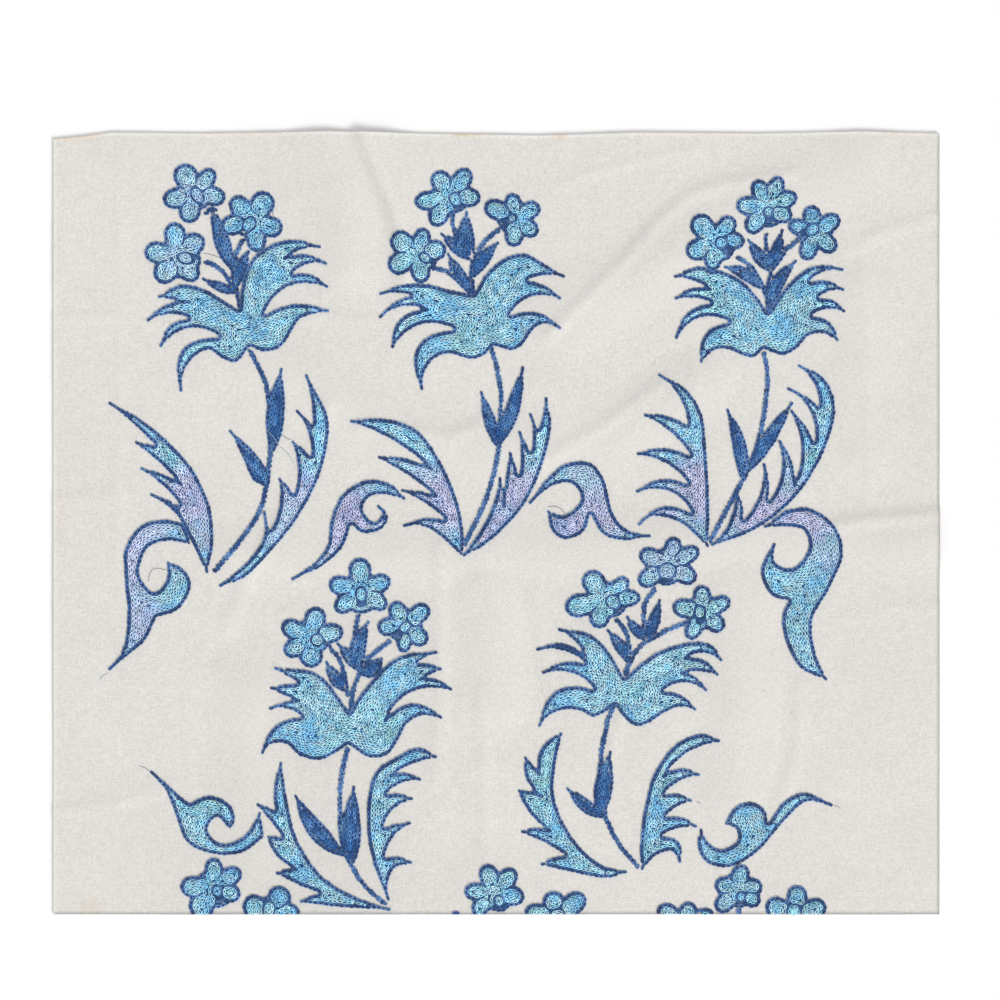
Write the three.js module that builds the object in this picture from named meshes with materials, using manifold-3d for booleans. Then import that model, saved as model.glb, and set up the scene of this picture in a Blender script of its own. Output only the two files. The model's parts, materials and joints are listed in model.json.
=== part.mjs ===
// A cut length of cotton cloth, lying face up, with flower sprays worked in chain stitch.
// Millimetres, +Z up. The origin is under the middle of the sheet, at its lowest level.
import * as THREE from "three";
import { mergeVertices } from "three/addons/utils/BufferGeometryUtils.js";
import Module from "manifold-3d";

const CLOTH_WIDTH = 532;
const CLOTH_LENGTH = 470;
const CLOTH_THICK = 1.2;
const THREAD_THICK = 1.0; // height of the worked rows above the cloth
const GAP = 0.3; // clear space between two pieces
const STEM_WIDTH = 2.8;
const CELL = 19; // side of the squares that carry the folds
const CURVE_STEPS = 8; // straight steps from one bend of an outline to the next
const CHORD = 0.34; // how far a straight step may lie off its curve
const SAME_SPOT = 0.05; // places of an outline as near as this count as one
const SAME_VERTEX = 1e-4;
const TRUE_TO = 0.02; // how far a worked shape may lie off its exact form
const CUTTER_HEIGHT = 20;
const CUTTER_FOOT = -1;
const LONGEST_MITRE = 3; // how far a grown corner may reach, as a share of the growth
const BLADE_LEAN = 0.85; // the less, the nearer its foot a blade's broadest place
const BLADE_TIP = 0.1; // half the width of a blade's ends
const FLOWER_CENTRE = 18; // squares from a flower's middle to where its petals part
const PETAL_ROOT = 0.24; // where a petal starts, as a share of the way to its tip
const PETAL_SIDES = 13;

// Places are read on a squared chart: x in squares to the right, y in squares down.
const SQUARE = 0.6;
const CHART_MIDDLE = { x: 496.5, y: 523 };

// The selvedge at the top is not quite straight: [x, squares it falls short].
const TOP_EDGE = [
  [53, 8],
  [82, 5],
  [112, 1],
  [210, 2],
  [330, 0],
  [420, 2],
  [540, 4],
  [640, 1],
  [760, 2],
  [860, 0],
  [940, 2],
];

// Soft folds: the line of the crest on the chart, the reach of each flank and the height in mm.
const FOLDS = [
  { crest: [[372, 125], [404, 190], [424, 290]], flank: 25, height: 3.4 },
  { crest: [[318, 120], [348, 200], [352, 262]], flank: 26, height: 2.2 },
  { crest: [[866, 160], [746, 208], [652, 268], [566, 318]], flank: 30, height: 2.4 },
  { crest: [[700, 384], [586, 446], [486, 452]], flank: 27, height: 2.2 },
  { crest: [[258, 360], [392, 446], [486, 452]], flank: 27, height: 2.2 },
  { crest: [[236, 556], [430, 550], [640, 544], [950, 540]], flank: 26, height: 2.0 },
  { crest: [[488, 590], [494, 700]], flank: 28, height: 1.8 },
  { crest: [[742, 590], [736, 790]], flank: 32, height: 2.4 },
  { crest: [[246, 690], [254, 850]], flank: 30, height: 1.6 },
  { crest: [[864, 300], [862, 450]], flank: 30, height: 2.0 },
];

// Flowers: the middle, the worked ground under the ring as [squares right of the middle, squares down,
// radius in squares], and for each petal a row of
// [heading in degrees, squares from the middle to its tip, width in squares].
const FLOWERS = [
  {
    name: "spray1_flower_top", x: 195, y: 193, ring: [2, 2, 10],
    petals: [[119, 32, 25], [51, 30, 18], [-10, 31, 20], [254, 31, 22], [195, 33, 21]],
  },
  {
    name: "spray1_flower_right", x: 252, y: 221, ring: [-3, 3, 10],
    petals: [[59, 33, 25], [130, 31, 21], [192, 32, 21], [282, 32, 20], [343, 32, 21]],
  },
  {
    name: "spray1_flower_left", x: 177, y: 255, ring: [5, 5, 19],
    petals: [[96, 33, 22], [34, 32, 22], [173, 33, 22], [235, 33, 24], [307, 32, 21]],
  },
  {
    name: "spray2_flower_top", x: 449, y: 196, ring: [6, 3, 14],
    petals: [[118, 28, 21], [52, 34, 20], [-4, 32, 20], [242, 34, 21], [193, 35, 20]],
  },
  {
    name: "spray2_flower_right", x: 515, y: 218, ring: [-4, 0, 10],
    petals: [[156, 33, 21], [97, 25, 17], [27, 28, 18], [-37, 28, 18], [267, 29, 19]],
  },
  {
    name: "spray2_flower_left", x: 417, y: 254, ring: [8, 4, 13],
    petals: [[143, 31, 23], [72, 27, 17], [11, 30, 21], [281, 30, 20], [209, 32, 23]],
  },
  {
    name: "spray3_flower_top", x: 767, y: 206, ring: [1, 5, 17],
    petals: [[114, 28, 18], [65, 32, 17], [19, 32, 18], [-28, 28, 18], [235, 33, 20], [180, 31, 20]],
  },
  {
    name: "spray3_flower_right", x: 815, y: 232, ring: [-2, -3, 10],
    petals: [[100, 27, 19], [32, 29, 19], [-43, 28, 19], [250, 30, 19], [164, 28, 17]],
  },
  {
    name: "spray3_flower_left", x: 715, y: 241, ring: [5, 6, 15],
    petals: [[131, 32, 24], [52, 30, 19], [0, 30, 18], [264, 30, 18], [207, 32, 22]],
  },
  {
    name: "spray4_flower_top", x: 361, y: 589, ring: [0, 7, 18],
    petals: [[93, 31, 23], [17, 31, 19], [-37, 32, 18], [222, 34, 19], [171, 33, 20]],
  },
  {
    name: "spray4_flower_right", x: 405, y: 626, ring: [0, 1, 10],
    petals: [[116, 27, 19], [41, 31, 19], [-39, 28, 19], [267, 27, 15], [183, 28, 19]],
  },
  {
    name: "spray4_flower_left", x: 310, y: 637, ring: [7, 3, 13],
    petals: [[74, 31, 22], [10, 34, 20], [273, 31, 24], [215, 31, 19], [156, 31, 20]],
  },
  {
    name: "spray5_flower_top", x: 668, y: 565, ring: [-1, 6, 15],
    petals: [[156, 31, 20], [75, 29, 18], [27, 35, 18], [-29, 32, 20], [214, 35, 20]],
  },
  {
    name: "spray5_flower_right", x: 703, y: 612, ring: [-3, 0, 10],
    petals: [[93, 27, 18], [25, 30, 17], [-42, 27, 19], [242, 31, 17], [169, 31, 20]],
  },
  {
    name: "spray5_flower_left", x: 604, y: 599, ring: [8, 4, 15],
    petals: [[121, 32, 24], [40, 32, 16], [2, 37, 18], [257, 30, 21], [195, 40, 24]],
  },
  {
    name: "edge_flower_1", x: 213, y: 887, ring: [5, 6, 15],
    petals: [[88, 29, 19], [31, 33, 19], [-20, 29, 19], [239, 35, 26], [180, 33, 22]],
  },
  {
    name: "edge_flower_2", x: 271, y: 914, ring: [-2, -5, 10],
    petals: [[156, 30, 24], [63, 30, 24], [6, 29, 17]],
  },
  {
    name: "edge_flower_3", x: 495, y: 893, ring: [5, 8, 11],
    petals: [[109, 30, 20], [49, 31, 19], [-10, 30, 20], [177, 31, 18], [224, 30, 18]],
  },
  {
    name: "edge_flower_4", x: 557, y: 918, ring: [0, -2, 10],
    petals: [[168, 33, 20], [102, 27, 22], [40, 36, 22]],
  },
  {
    name: "edge_flower_5", x: 684, y: 928, ring: [2, 0, 10],
    petals: [[140, 33, 22], [75, 27, 18], [28, 34, 18]],
  },
  {
    name: "edge_flower_6", x: 738, y: 890, ring: [2, 6, 12],
    petals: [[80, 26, 18], [10, 25, 18], [-33, 26, 17], [225, 30, 19], [164, 24, 18]],
  },
  {
    name: "edge_flower_7", x: 796, y: 915, ring: [-2, -3, 10],
    petals: [[160, 32, 22], [86, 30, 21], [18, 32, 21]],
  },
];

// Cups: top and foot are the dips between the two wings. On each wing the shoulder runs from the top
// to the first point, and the lobe from the last point to the foot. A barb's row is
// [notch x, notch y, point x, point y, bow into the notch, bow out of it]; a bow is a share of its edge,
// above zero where the edge swells.
const CUPS = [
  {
    name: "spray1_cup",
    top: [240, 311],
    foot: [249, 346],
    right: {
      shoulder: [[242, 284], [253, 258], [276, 243], [299, 240]],
      point: [321, 247],
      barbs: [
        [283, 259, 327, 264, -0.1, 0.16],
        [289, 276, 328, 287, -0.17, 0.18],
        [262, 317, 329, 311, -0.24, 0.14],
      ],
      lobe: [[300, 318], [290, 334], [279, 348], [262, 351]],
    },
    left: {
      shoulder: [[226, 302], [203, 289], [180, 285]],
      point: [158, 297],
      barbs: [
        [190, 302, 147, 321, 0, 0.15],
        [193, 319, 160, 347, -0.14, 0.22],
        [223, 338, 181, 392, -0.24, 0.36],
      ],
      lobe: [[183, 372], [194, 356], [209, 349], [222, 358], [236, 362]],
    },
  },
  {
    name: "spray2_cup",
    top: [474, 295],
    foot: [493, 345],
    right: {
      shoulder: [[484, 277], [504, 259], [525, 254], [545, 265]],
      point: [565, 277],
      barbs: [
        [523, 281, 561, 299, -0.1, 0.12],
        [507, 318, 561, 329, -0.22, 0.2],
      ],
      lobe: [[543, 323], [531, 331], [523, 344], [512, 350]],
    },
    left: {
      shoulder: [[452, 291], [427, 285], [402, 285]],
      point: [379, 294],
      barbs: [
        [417, 296, 379, 318, -0.06, 0.13],
        [428, 310, 392, 348, -0.17, 0.26],
        [458, 330, 422, 390, -0.23, 0.37],
      ],
      lobe: [[424, 372], [434, 358], [450, 353], [470, 359], [484, 355]],
    },
  },
  {
    name: "spray3_cup",
    top: [768, 314],
    foot: [763, 348],
    right: {
      shoulder: [[778, 298], [793, 280], [810, 268], [828, 265]],
      point: [844, 270],
      barbs: [
        [806, 285, 844, 290, -0.16, 0.18],
        [815, 300, 845, 312, -0.14, 0.2],
        [809, 317, 838, 341, -0.17, 0.24],
      ],
      lobe: [[824, 333], [809, 335], [797, 348], [783, 355]],
    },
    left: {
      shoulder: [[758, 298], [742, 281], [722, 271], [697, 267]],
      point: [674, 277],
      barbs: [
        [712, 290, 675, 299, -0.08, 0.17],
        [716, 304, 676, 339, -0.1, 0.22],
        [733, 323, 701, 363, -0.25, 0.28],
      ],
      lobe: [[713, 350], [730, 349], [745, 356], [755, 357]],
    },
  },
  {
    name: "spray4_cup",
    top: [350, 714],
    foot: [348, 744],
    right: {
      shoulder: [[357, 700], [370, 683], [388, 664], [408, 654]],
      point: [438, 652],
      barbs: [
        [413, 665, 442, 669, -0.06, 0.1],
        [418, 680, 452, 690, 0, 0.16],
        [384, 722, 442, 718, -0.21, 0.28],
      ],
      lobe: [[421, 715], [406, 724], [398, 740], [387, 755], [368, 757]],
    },
    left: {
      shoulder: [[340, 699], [327, 682], [313, 672], [293, 669]],
      point: [274, 668],
      barbs: [
        [301, 684, 270, 688, 0, 0.04],
        [300, 701, 269, 709, 0.03, 0.09],
        [304, 718, 262, 754, -0.15, 0.22],
      ],
      lobe: [[270, 744], [286, 743], [299, 755], [318, 760], [335, 753]],
    },
  },
  {
    name: "spray5_cup",
    top: [624, 679],
    foot: [615, 704],
    right: {
      shoulder: [[636, 668], [655, 654], [678, 645], [700, 642], [714, 647]],
      point: [722, 661],
      barbs: [
        [683, 659, 718, 675, -0.2, 0.2],
        [680, 673, 707, 691, -0.08, 0.16],
        [660, 692, 696, 710, -0.2, 0.16],
      ],
      lobe: [[680, 706], [665, 712], [650, 722], [636, 726], [623, 716]],
    },
    left: {
      shoulder: [[614, 660], [600, 642], [586, 633]],
      point: [558, 629],
      barbs: [
        [586, 657, 536, 650, -0.1, 0.2],
        [590, 666, 542, 673, -0.14, 0.15],
        [598, 692, 539, 727, -0.17, 0.32],
      ],
      lobe: [[549, 715], [566, 709], [582, 711], [593, 717], [605, 712]],
    },
  },
];

// Leaves: the smooth edge runs from the point through its bends to the foot. The other edge has the
// barbs, in rows like a cup's, and then the heel down to the foot.
const LEAVES = [
  {
    name: "spray1_leaf_left",
    point: [108, 402],
    edge: [[140, 419], [168, 442], [194, 472], [210, 508], [213, 545]],
    foot: [207, 573],
    barbs: [
      [160, 449, 135, 442, -0.02, 0.05],
      [183, 486, 140, 468, -0.03, 0.06],
      [184, 510, 150, 494, -0.06, 0.06],
    ],
    heel: [[176, 513], [190, 538]],
  },
  {
    name: "spray1_leaf_right",
    point: [306, 374],
    edge: [[316, 393], [328, 418], [323, 464], [301, 512], [272, 550], [243, 578]],
    foot: [219, 586],
    barbs: [
      [314, 428, 296, 410, -0.04, 0.05],
      [312, 459, 292, 441, -0.1, 0.05],
      [294, 497, 279, 478, -0.1, 0.08],
      [270, 533, 264, 510, -0.1, 0.02],
    ],
    heel: [[264, 538], [246, 564]],
  },
  {
    name: "spray2_leaf_left",
    point: [350, 421],
    edge: [[383, 419], [415, 429], [437, 456], [457, 500], [464, 540]],
    foot: [462, 556],
    barbs: [
      [433, 470, 378, 457, -0.06, 0.08],
      [438, 497, 401, 490, -0.03, 0.06],
      [449, 522, 403, 526, -0.05, 0.12],
    ],
    heel: [[422, 525], [440, 535]],
  },
  {
    name: "spray2_leaf_right",
    point: [546, 397],
    edge: [[551, 425], [541, 468], [525, 503], [497, 535], [478, 549]],
    foot: [463, 556],
    barbs: [
      [538, 434, 530, 413, -0.03, 0.06],
      [531, 457, 519, 431, -0.06, 0.05],
      [519, 481, 510, 452, -0.05, 0.04],
      [504, 508, 500, 477, 0.02, 0.04],
    ],
    heel: [[496, 498], [484, 526]],
  },
  {
    name: "spray3_leaf_left",
    point: [658, 374],
    edge: [[684, 388], [701, 412], [706, 450], [709, 500]],
    foot: [708, 547],
    barbs: [
      [689, 427, 644, 415, -0.12, 0.1],
      [694, 459, 637, 454, -0.08, 0.14],
      [692, 487, 636, 492, -0.12, 0.18],
      [695, 517, 638, 526, -0.22, 0.26],
    ],
    heel: [[652, 516], [680, 522]],
  },
  {
    name: "spray3_leaf_right",
    point: [798, 365],
    edge: [[823, 377], [835, 405], [825, 449], [797, 495], [757, 528]],
    foot: [708, 547],
    barbs: [
      [820, 409, 787, 388, -0.14, 0.08],
      [815, 447, 791, 410, -0.18, 0.08],
      [794, 488, 779, 440, -0.12, 0.12],
      [766, 506, 764, 463, -0.14, 0.1],
      [741, 524, 737, 492, -0.12, 0.12],
    ],
    heel: [[733, 514], [723, 534]],
  },
  {
    name: "spray4_leaf_left",
    point: [281, 762],
    edge: [[286, 795], [296, 838], [320, 875], [350, 895]],
    foot: [391, 910],
    barbs: [
      [276, 812, 257, 804, 0.08, 0.06],
      [285, 840, 267, 836, -0.02, 0.08],
      [301, 871, 276, 873, 0.14, 0.12],
      [326, 895, 300, 902, 0.03, 0.1],
    ],
    heel: [[330, 906], [362, 908]],
  },
  {
    name: "spray4_leaf_right",
    point: [437, 757],
    edge: [[419, 748], [395, 758], [376, 772], [368, 800], [370, 850]],
    foot: [392, 911],
    barbs: [
      [388, 777, 421, 780, -0.06, 0.16],
      [383, 797, 413, 799, -0.14, 0.13],
      [382, 829, 411, 823, -0.16, 0.06],
      [384, 859, 412, 863, -0.14, 0.14],
    ],
    heel: [[394, 868], [387, 888]],
  },
  {
    name: "spray5_leaf_left",
    point: [562, 733],
    edge: [[556, 760], [554, 798], [572, 838], [602, 866]],
    foot: [627, 872],
    barbs: [
      [541, 781, 525, 757, 0.24, 0.08],
      [544, 798, 518, 790, 0.18, 0.08],
      [552, 832, 521, 832, 0.1, 0.12],
      [570, 857, 541, 865, -0.03, 0.12],
    ],
    heel: [[570, 871], [607, 878]],
  },
  {
    name: "spray5_leaf_right",
    point: [720, 741],
    edge: [[702, 734], [676, 745], [655, 773], [645, 806], [640, 850]],
    foot: [642, 870],
    barbs: [
      [663, 777, 700, 775, -0.12, 0.2],
      [661, 797, 692, 801, -0.12, 0.16],
      [663, 819, 697, 827, -0.1, 0.16],
      [659, 837, 680, 863, -0.1, 0.36],
    ],
    heel: [[673, 851], [656, 855]],
  },
];

// Scrolls: each edge starts at a corner and runs smoothly through its bends to the next corner.
const SCROLLS = [
  {
    name: "spray1_scroll_left",
    edges: [
      [[186, 524], [165, 520], [141, 526], [125, 550], [125, 580], [128, 612], [122, 652]],
      [[100, 678], [122, 660], [145, 640]],
      [[156, 617], [178, 609], [191, 585], [183, 569]],
      [[167, 562], [167, 580], [154, 593], [139, 575], [147, 548], [168, 540]],
      [[190, 544]],
    ],
  },
  {
    name: "spray2_scroll_left",
    edges: [
      [[405, 499], [393, 486], [370, 480], [343, 494], [331, 520], [328, 545], [318, 560]],
      [[291, 580], [322, 566], [343, 546]],
      [[351, 523], [362, 533], [382, 528], [388, 515]],
      [[377, 505], [383, 514], [374, 523], [362, 509], [370, 496], [387, 494]],
    ],
  },
  {
    name: "spray2_scroll_right",
    edges: [
      [[529, 504], [546, 480], [566, 464], [590, 463], [603, 477], [613, 515], [628, 531]],
      [[651, 536], [626, 540], [603, 534]],
      [[590, 511], [584, 531], [564, 539], [551, 529]],
      [[548, 511], [564, 516], [582, 499], [572, 483], [555, 484]],
    ],
  },
  {
    name: "spray3_scroll_right",
    edges: [
      [[785, 511], [808, 508], [832, 523], [843, 552], [830, 587], [812, 620], [816, 656]],
      [[827, 680], [800, 667], [783, 630], [784, 610]],
      [[790, 600], [772, 596], [761, 572], [767, 555]],
      [[775, 543], [774, 562], [792, 569], [809, 549], [804, 530], [784, 526]],
      [[764, 527]],
    ],
  },
  {
    name: "spray4_scroll_left",
    edges: [
      [[150, 771], [166, 783], [178, 795]],
      [[189, 804], [210, 796], [230, 805], [235, 820]],
      [[230, 830], [217, 816], [207, 830], [221, 844], [245, 836]],
      [[260, 812]],
      [[264, 836], [243, 852], [214, 854], [187, 842], [175, 812], [166, 790]],
    ],
  },
  {
    name: "spray5_scroll_right",
    edges: [
      [[701, 829], [708, 843], [722, 850], [738, 841], [737, 829]],
      [[725, 824], [734, 808], [752, 802], [766, 812]],
      [[767, 826], [783, 803], [803, 793], [822, 799]],
      [[833, 806], [807, 801], [784, 821], [757, 852], [730, 867], [706, 862], [698, 845]],
    ],
  },
];

// Stems and twigs: lines are single rows of stitches, and a blade's row is
// [point x, point y, foot x, foot y, width in squares, bow, lean where it isn't the usual one].
const STEMS = [
  {
    name: "spray1_stem",
    lines: [[[249, 349], [264, 378], [270, 410], [270, 456], [261, 508], [241, 540], [214, 572]]],
    blades: [
      [282, 368, 273, 454, 18, 0.02],
      [229, 430, 264, 486, 16, -0.05, 0.5],
    ],
  },
  {
    name: "spray2_stem",
    lines: [[[491, 347], [497, 368], [501, 390], [501, 412], [498, 455], [486, 500], [464, 546]]],
    blades: [
      [481, 391, 498, 449, 12, 0],
      [523, 366, 499, 446, 14, -0.03],
    ],
  },
  {
    name: "spray3_stem",
    lines: [[[764, 351], [768, 378], [765, 410], [758, 445], [743, 480], [722, 518], [709, 543]]],
    blades: [
      [727, 409, 743, 484, 14, -0.06],
      [793, 402, 749, 472, 14, 0.01],
    ],
  },
  {
    name: "spray4_stem",
    lines: [[[348, 747], [341, 780], [340, 812], [343, 845], [361, 882], [386, 905]]],
    blades: [
      [295, 795, 345, 857, 18, 0.07],
      [354, 786, 352, 868, 19, 0.02],
    ],
  },
  {
    name: "spray5_stem",
    lines: [[[614, 705], [608, 720], [601, 755], [600, 785], [605, 815], [618, 843], [639, 868]]],
    blades: [
      [611, 751, 601, 820, 18, 0.03],
      [567, 788, 602, 818, 13, 0.03],
    ],
  },
];

const TWIGS = [
  {
    name: "spray1_twigs",
    lines: [
      [[232, 262], [235, 285], [241, 309]],
      [[244, 238], [237, 251], [233, 266]],
      [[203, 261], [219, 268], [235, 288]],
    ],
    blades: [
      [211, 205, 231, 270, 16, 0],
      [203, 214, 218, 209, 8, 0],
      [250, 249, 235, 289, 13, 0.05],
      [202, 278, 237, 293, 10, 0.03],
    ],
  },
  {
    name: "spray2_twigs",
    lines: [
      [[475, 256], [471, 275], [473, 295]],
      [[453, 212], [453, 226], [458, 240]],
      [[503, 227], [488, 238], [475, 254]],
      [[432, 268], [448, 272], [472, 294]],
    ],
    blades: [
      [467, 211, 471, 262, 17, 0.06],
      [441, 233, 475, 259, 14, 0.03],
      [499, 242, 471, 279, 14, 0.05],
      [448, 253, 471, 291, 13, 0.04],
    ],
  },
  {
    name: "spray3_twigs",
    lines: [
      [[736, 256], [752, 268], [767, 296]],
      [[766, 233], [766, 248], [771, 264]],
      [[799, 239], [786, 250], [773, 268]],
      [[773, 262], [769, 285], [768, 312]],
    ],
    blades: [
      [748, 239, 771, 272, 13, 0.02],
      [783, 229, 771, 272, 12, 0],
      [724, 267, 761, 290, 12, -0.12],
      [797, 260, 768, 313, 14, 0.1],
    ],
  },
  {
    name: "spray4_twigs",
    lines: [
      [[359, 613], [355, 632], [356, 652]],
      [[392, 640], [378, 650], [364, 662]],
      [[327, 645], [340, 660], [348, 697]],
      [[362, 668], [354, 686], [350, 712]],
    ],
    blades: [
      [369, 621, 360, 674, 16, 0.12],
      [337, 643, 364, 673, 13, 0],
      [382, 657, 361, 675, 16, -0.1],
      [326, 661, 348, 692, 13, 0.06],
    ],
  },
  {
    name: "spray5_twigs",
    lines: [
      [[656, 588], [645, 604], [645, 640]],
      [[688, 622], [668, 630], [645, 642]],
      [[616, 619], [628, 636], [628, 664]],
      [[650, 638], [635, 653], [624, 677]],
    ],
    blades: [
      [627, 616, 645, 640, 11, 0.04],
      [660, 599, 647, 642, 12, -0.02],
      [607, 630, 629, 664, 12, -0.06],
      [672, 636, 637, 657, 12, 0],
    ],
  },
  { name: "edge_stem", lines: [[[739, 904], [738, 916], [738, 926]]], blades: [] },
  { name: "edge_bud", lines: [[[451, 915], [456, 913], [461, 915]]], blades: [] },
];

const COTTON = { color: 0xdfddd8, roughness: 0.95, metalness: 0 };
const NAVY_THREAD = { color: 0x2b5a96, roughness: 0.6, metalness: 0 };
const AQUA_THREAD = { color: 0x7fc0dc, roughness: 0.6, metalness: 0 };
const LAVENDER_THREAD = { color: 0xa3b6de, roughness: 0.6, metalness: 0 };

const wasm = await Module();
wasm.setup();

// --- From the chart to the sheet -------------------------------------------------------------

function onSheet([x, y]) {
  return new THREE.Vector2((x - CHART_MIDDLE.x) * SQUARE, (CHART_MIDDLE.y - y) * SQUARE);
}

// Height of the cloth's underside above the floor: the highest fold that passes a place.
function liftAt(x, y) {
  const here = new THREE.Vector3(x, y, 0);
  const nearest = new THREE.Vector3();
  let lift = 0;
  for (const { crest, flank, height } of FOLDS) {
    const line = crest.map((place) => onSheet(place)).map((p) => new THREE.Vector3(p.x, p.y, 0));
    let away = Infinity;
    for (let i = 1; i < line.length; i += 1) {
      new THREE.Line3(line[i - 1], line[i]).closestPointToPoint(here, true, nearest);
      away = Math.min(away, nearest.distanceTo(here));
    }
    const share = Math.max(0, 1 - away / flank);
    lift = Math.max(lift, height * THREE.MathUtils.smoothstep(share, 0, 1));
  }
  return lift;
}

// How far the top edge falls short at a place across the sheet.
function shortfallAt(x) {
  const square = x / SQUARE + CHART_MIDDLE.x;
  const after = TOP_EDGE.findIndex(([place]) => place >= square);
  if (after <= 0) return TOP_EDGE.at(after === 0 ? 0 : -1)[1] * SQUARE;
  const [x0, short0] = TOP_EDGE[after - 1];
  const [x1, short1] = TOP_EDGE[after];
  return THREE.MathUtils.mapLinear(square, x0, x1, short0, short1) * SQUARE;
}

// --- Solids ----------------------------------------------------------------------------------

function solidOf(geometry) {
  geometry.deleteAttribute("normal");
  geometry.deleteAttribute("uv");
  const merged = mergeVertices(geometry, SAME_VERTEX);
  return new wasm.Manifold(
    new wasm.Mesh({
      numProp: 3,
      vertProperties: merged.attributes.position.array,
      triVerts: new Uint32Array(merged.index.array),
    }),
  );
}

// A sheet that follows the folds, with its underside a given height above the cloth's own.
function foldedSheet(raise, thick) {
  const columns = Math.round(CLOTH_WIDTH / CELL);
  const rows = Math.round(CLOTH_LENGTH / CELL);
  const sheet = new THREE.BoxGeometry(CLOTH_WIDTH, CLOTH_LENGTH, thick, columns, rows, 1);
  const place = sheet.attributes.position;
  for (let i = 0; i < place.count; i += 1) {
    const x = place.getX(i);
    const y = place.getY(i);
    const atTop = y > CLOTH_LENGTH / 2 - SAME_SPOT;
    const level = raise + (place.getZ(i) > 0 ? thick : 0);
    place.setXYZ(i, x, atTop ? y - shortfallAt(x) : y, level + liftAt(x, y));
  }
  return solidOf(sheet).asOriginal();
}

// --- Outlines --------------------------------------------------------------------------------

// A smooth run through places on the chart.
function smoothRun(places) {
  const points = places.map((place) => onSheet(place));
  if (points.length === 2) return points;
  const bends = points.map((p) => new THREE.Vector3(p.x, p.y, 0));
  const curve = new THREE.CatmullRomCurve3(bends, false, "centripetal");
  return curve.getPoints(CURVE_STEPS * (points.length - 1)).map((p) => new THREE.Vector2(p.x, p.y));
}

// An edge that swells to one side by a share of its length.
function bowedRun(from, to, share) {
  const a = onSheet(from);
  const b = onSheet(to);
  const across = new THREE.Vector2(a.y - b.y, b.x - a.x);
  const pull = a.clone().lerp(b, 0.5).addScaledVector(across, 2 * share);
  return new THREE.QuadraticBezierCurve(a, pull, b).getPoints(CURVE_STEPS);
}

// The barbed side of a cup or leaf. outward is 1 where the outside is on the left of the way down.
function barbedRun(point, barbs, outward) {
  const run = [];
  let from = point;
  for (const [notchX, notchY, pointX, pointY, bowIn, bowOut] of barbs) {
    run.push(...bowedRun(from, [notchX, notchY], bowIn * outward));
    run.push(...bowedRun([notchX, notchY], [pointX, pointY], bowOut * outward));
    from = [pointX, pointY];
  }
  return run;
}

function lastPoint(barbs) {
  const [, , x, y] = barbs.at(-1);
  return [x, y];
}

function wingRun(cup, wing, outward) {
  return [
    ...smoothRun([cup.top, ...wing.shoulder, wing.point]),
    ...barbedRun(wing.point, wing.barbs, outward),
    ...smoothRun([lastPoint(wing.barbs), ...wing.lobe, cup.foot]),
  ];
}

function cupOutline(cup) {
  return [...wingRun(cup, cup.right, 1), ...wingRun(cup, cup.left, -1).reverse()];
}

function leafOutline(leaf) {
  const smooth = smoothRun([leaf.point, ...leaf.edge, leaf.foot]).reverse();
  const heel = smoothRun([lastPoint(leaf.barbs), ...leaf.heel, leaf.foot]);
  const unbowed = [...leaf.barbs.map((row) => onSheet(row)), ...heel, ...smooth];
  const outward = THREE.ShapeUtils.area(unbowed) > 0 ? -1 : 1;
  return [...barbedRun(leaf.point, leaf.barbs, outward), ...heel, ...smooth];
}

function scrollOutline({ edges }) {
  return edges.flatMap((edge, i) => smoothRun([...edge, edges[(i + 1) % edges.length][0]]));
}

// Drops the points that lie close to the straight line between the ones that stay.
function thinned(points) {
  if (points.length < 3) return points;
  const start = points[0];
  const end = points.at(-1);
  const along = end.clone().sub(start);
  let worst = 0;
  let split = 0;
  points.forEach((point, i) => {
    const arm = point.clone().sub(start);
    const off = along.length() > 0 ? Math.abs(along.cross(arm)) / along.length() : arm.length();
    if (off > worst) [worst, split] = [off, i];
  });
  if (worst < CHORD) return [start, end];
  return [...thinned(points.slice(0, split + 1)), ...thinned(points.slice(split)).slice(1)];
}

// A closed outline without doubled points, thinned.
function tidyLoop(points) {
  const open = points.filter((p, i) => p.distanceTo(points[(i + 1) % points.length]) > SAME_SPOT);
  return thinned([...open, open[0]]).slice(0, -1);
}

// A closed outline moved outwards.
function grownLoop(loop, by) {
  const side = THREE.ShapeUtils.area(loop) > 0 ? 1 : -1;
  return loop.map((point, i) => {
    const before = point.clone().sub(loop.at(i - 1)).normalize();
    const after = loop[(i + 1) % loop.length].clone().sub(point).normalize();
    const out = new THREE.Vector2(before.y + after.y, -before.x - after.x).multiplyScalar(side);
    const reach = Math.min(LONGEST_MITRE, 2 / out.length());
    return point.clone().addScaledVector(out.normalize(), by * reach);
  });
}

// --- Cutters: upright prisms over an outline, wider by grow all round ------------------------

function prism(loop, grow) {
  const shape = new THREE.Shape(grow > 0 ? grownLoop(loop, grow) : loop);
  const block = new THREE.ExtrudeGeometry(shape, { depth: CUTTER_HEIGHT, bevelEnabled: false });
  return solidOf(block.translate(0, 0, CUTTER_FOOT));
}

function joined(solids) {
  return solids.reduce((all, solid) => all.add(solid));
}

function ovalPrism(middle, long, wide, heading, grow) {
  const oval = new THREE.EllipseCurve(
    middle.x, middle.y, long + grow, wide + grow, 0, 2 * Math.PI, false, heading,
  );
  return prism(oval.getPoints(PETAL_SIDES).slice(0, -1), 0);
}

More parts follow.
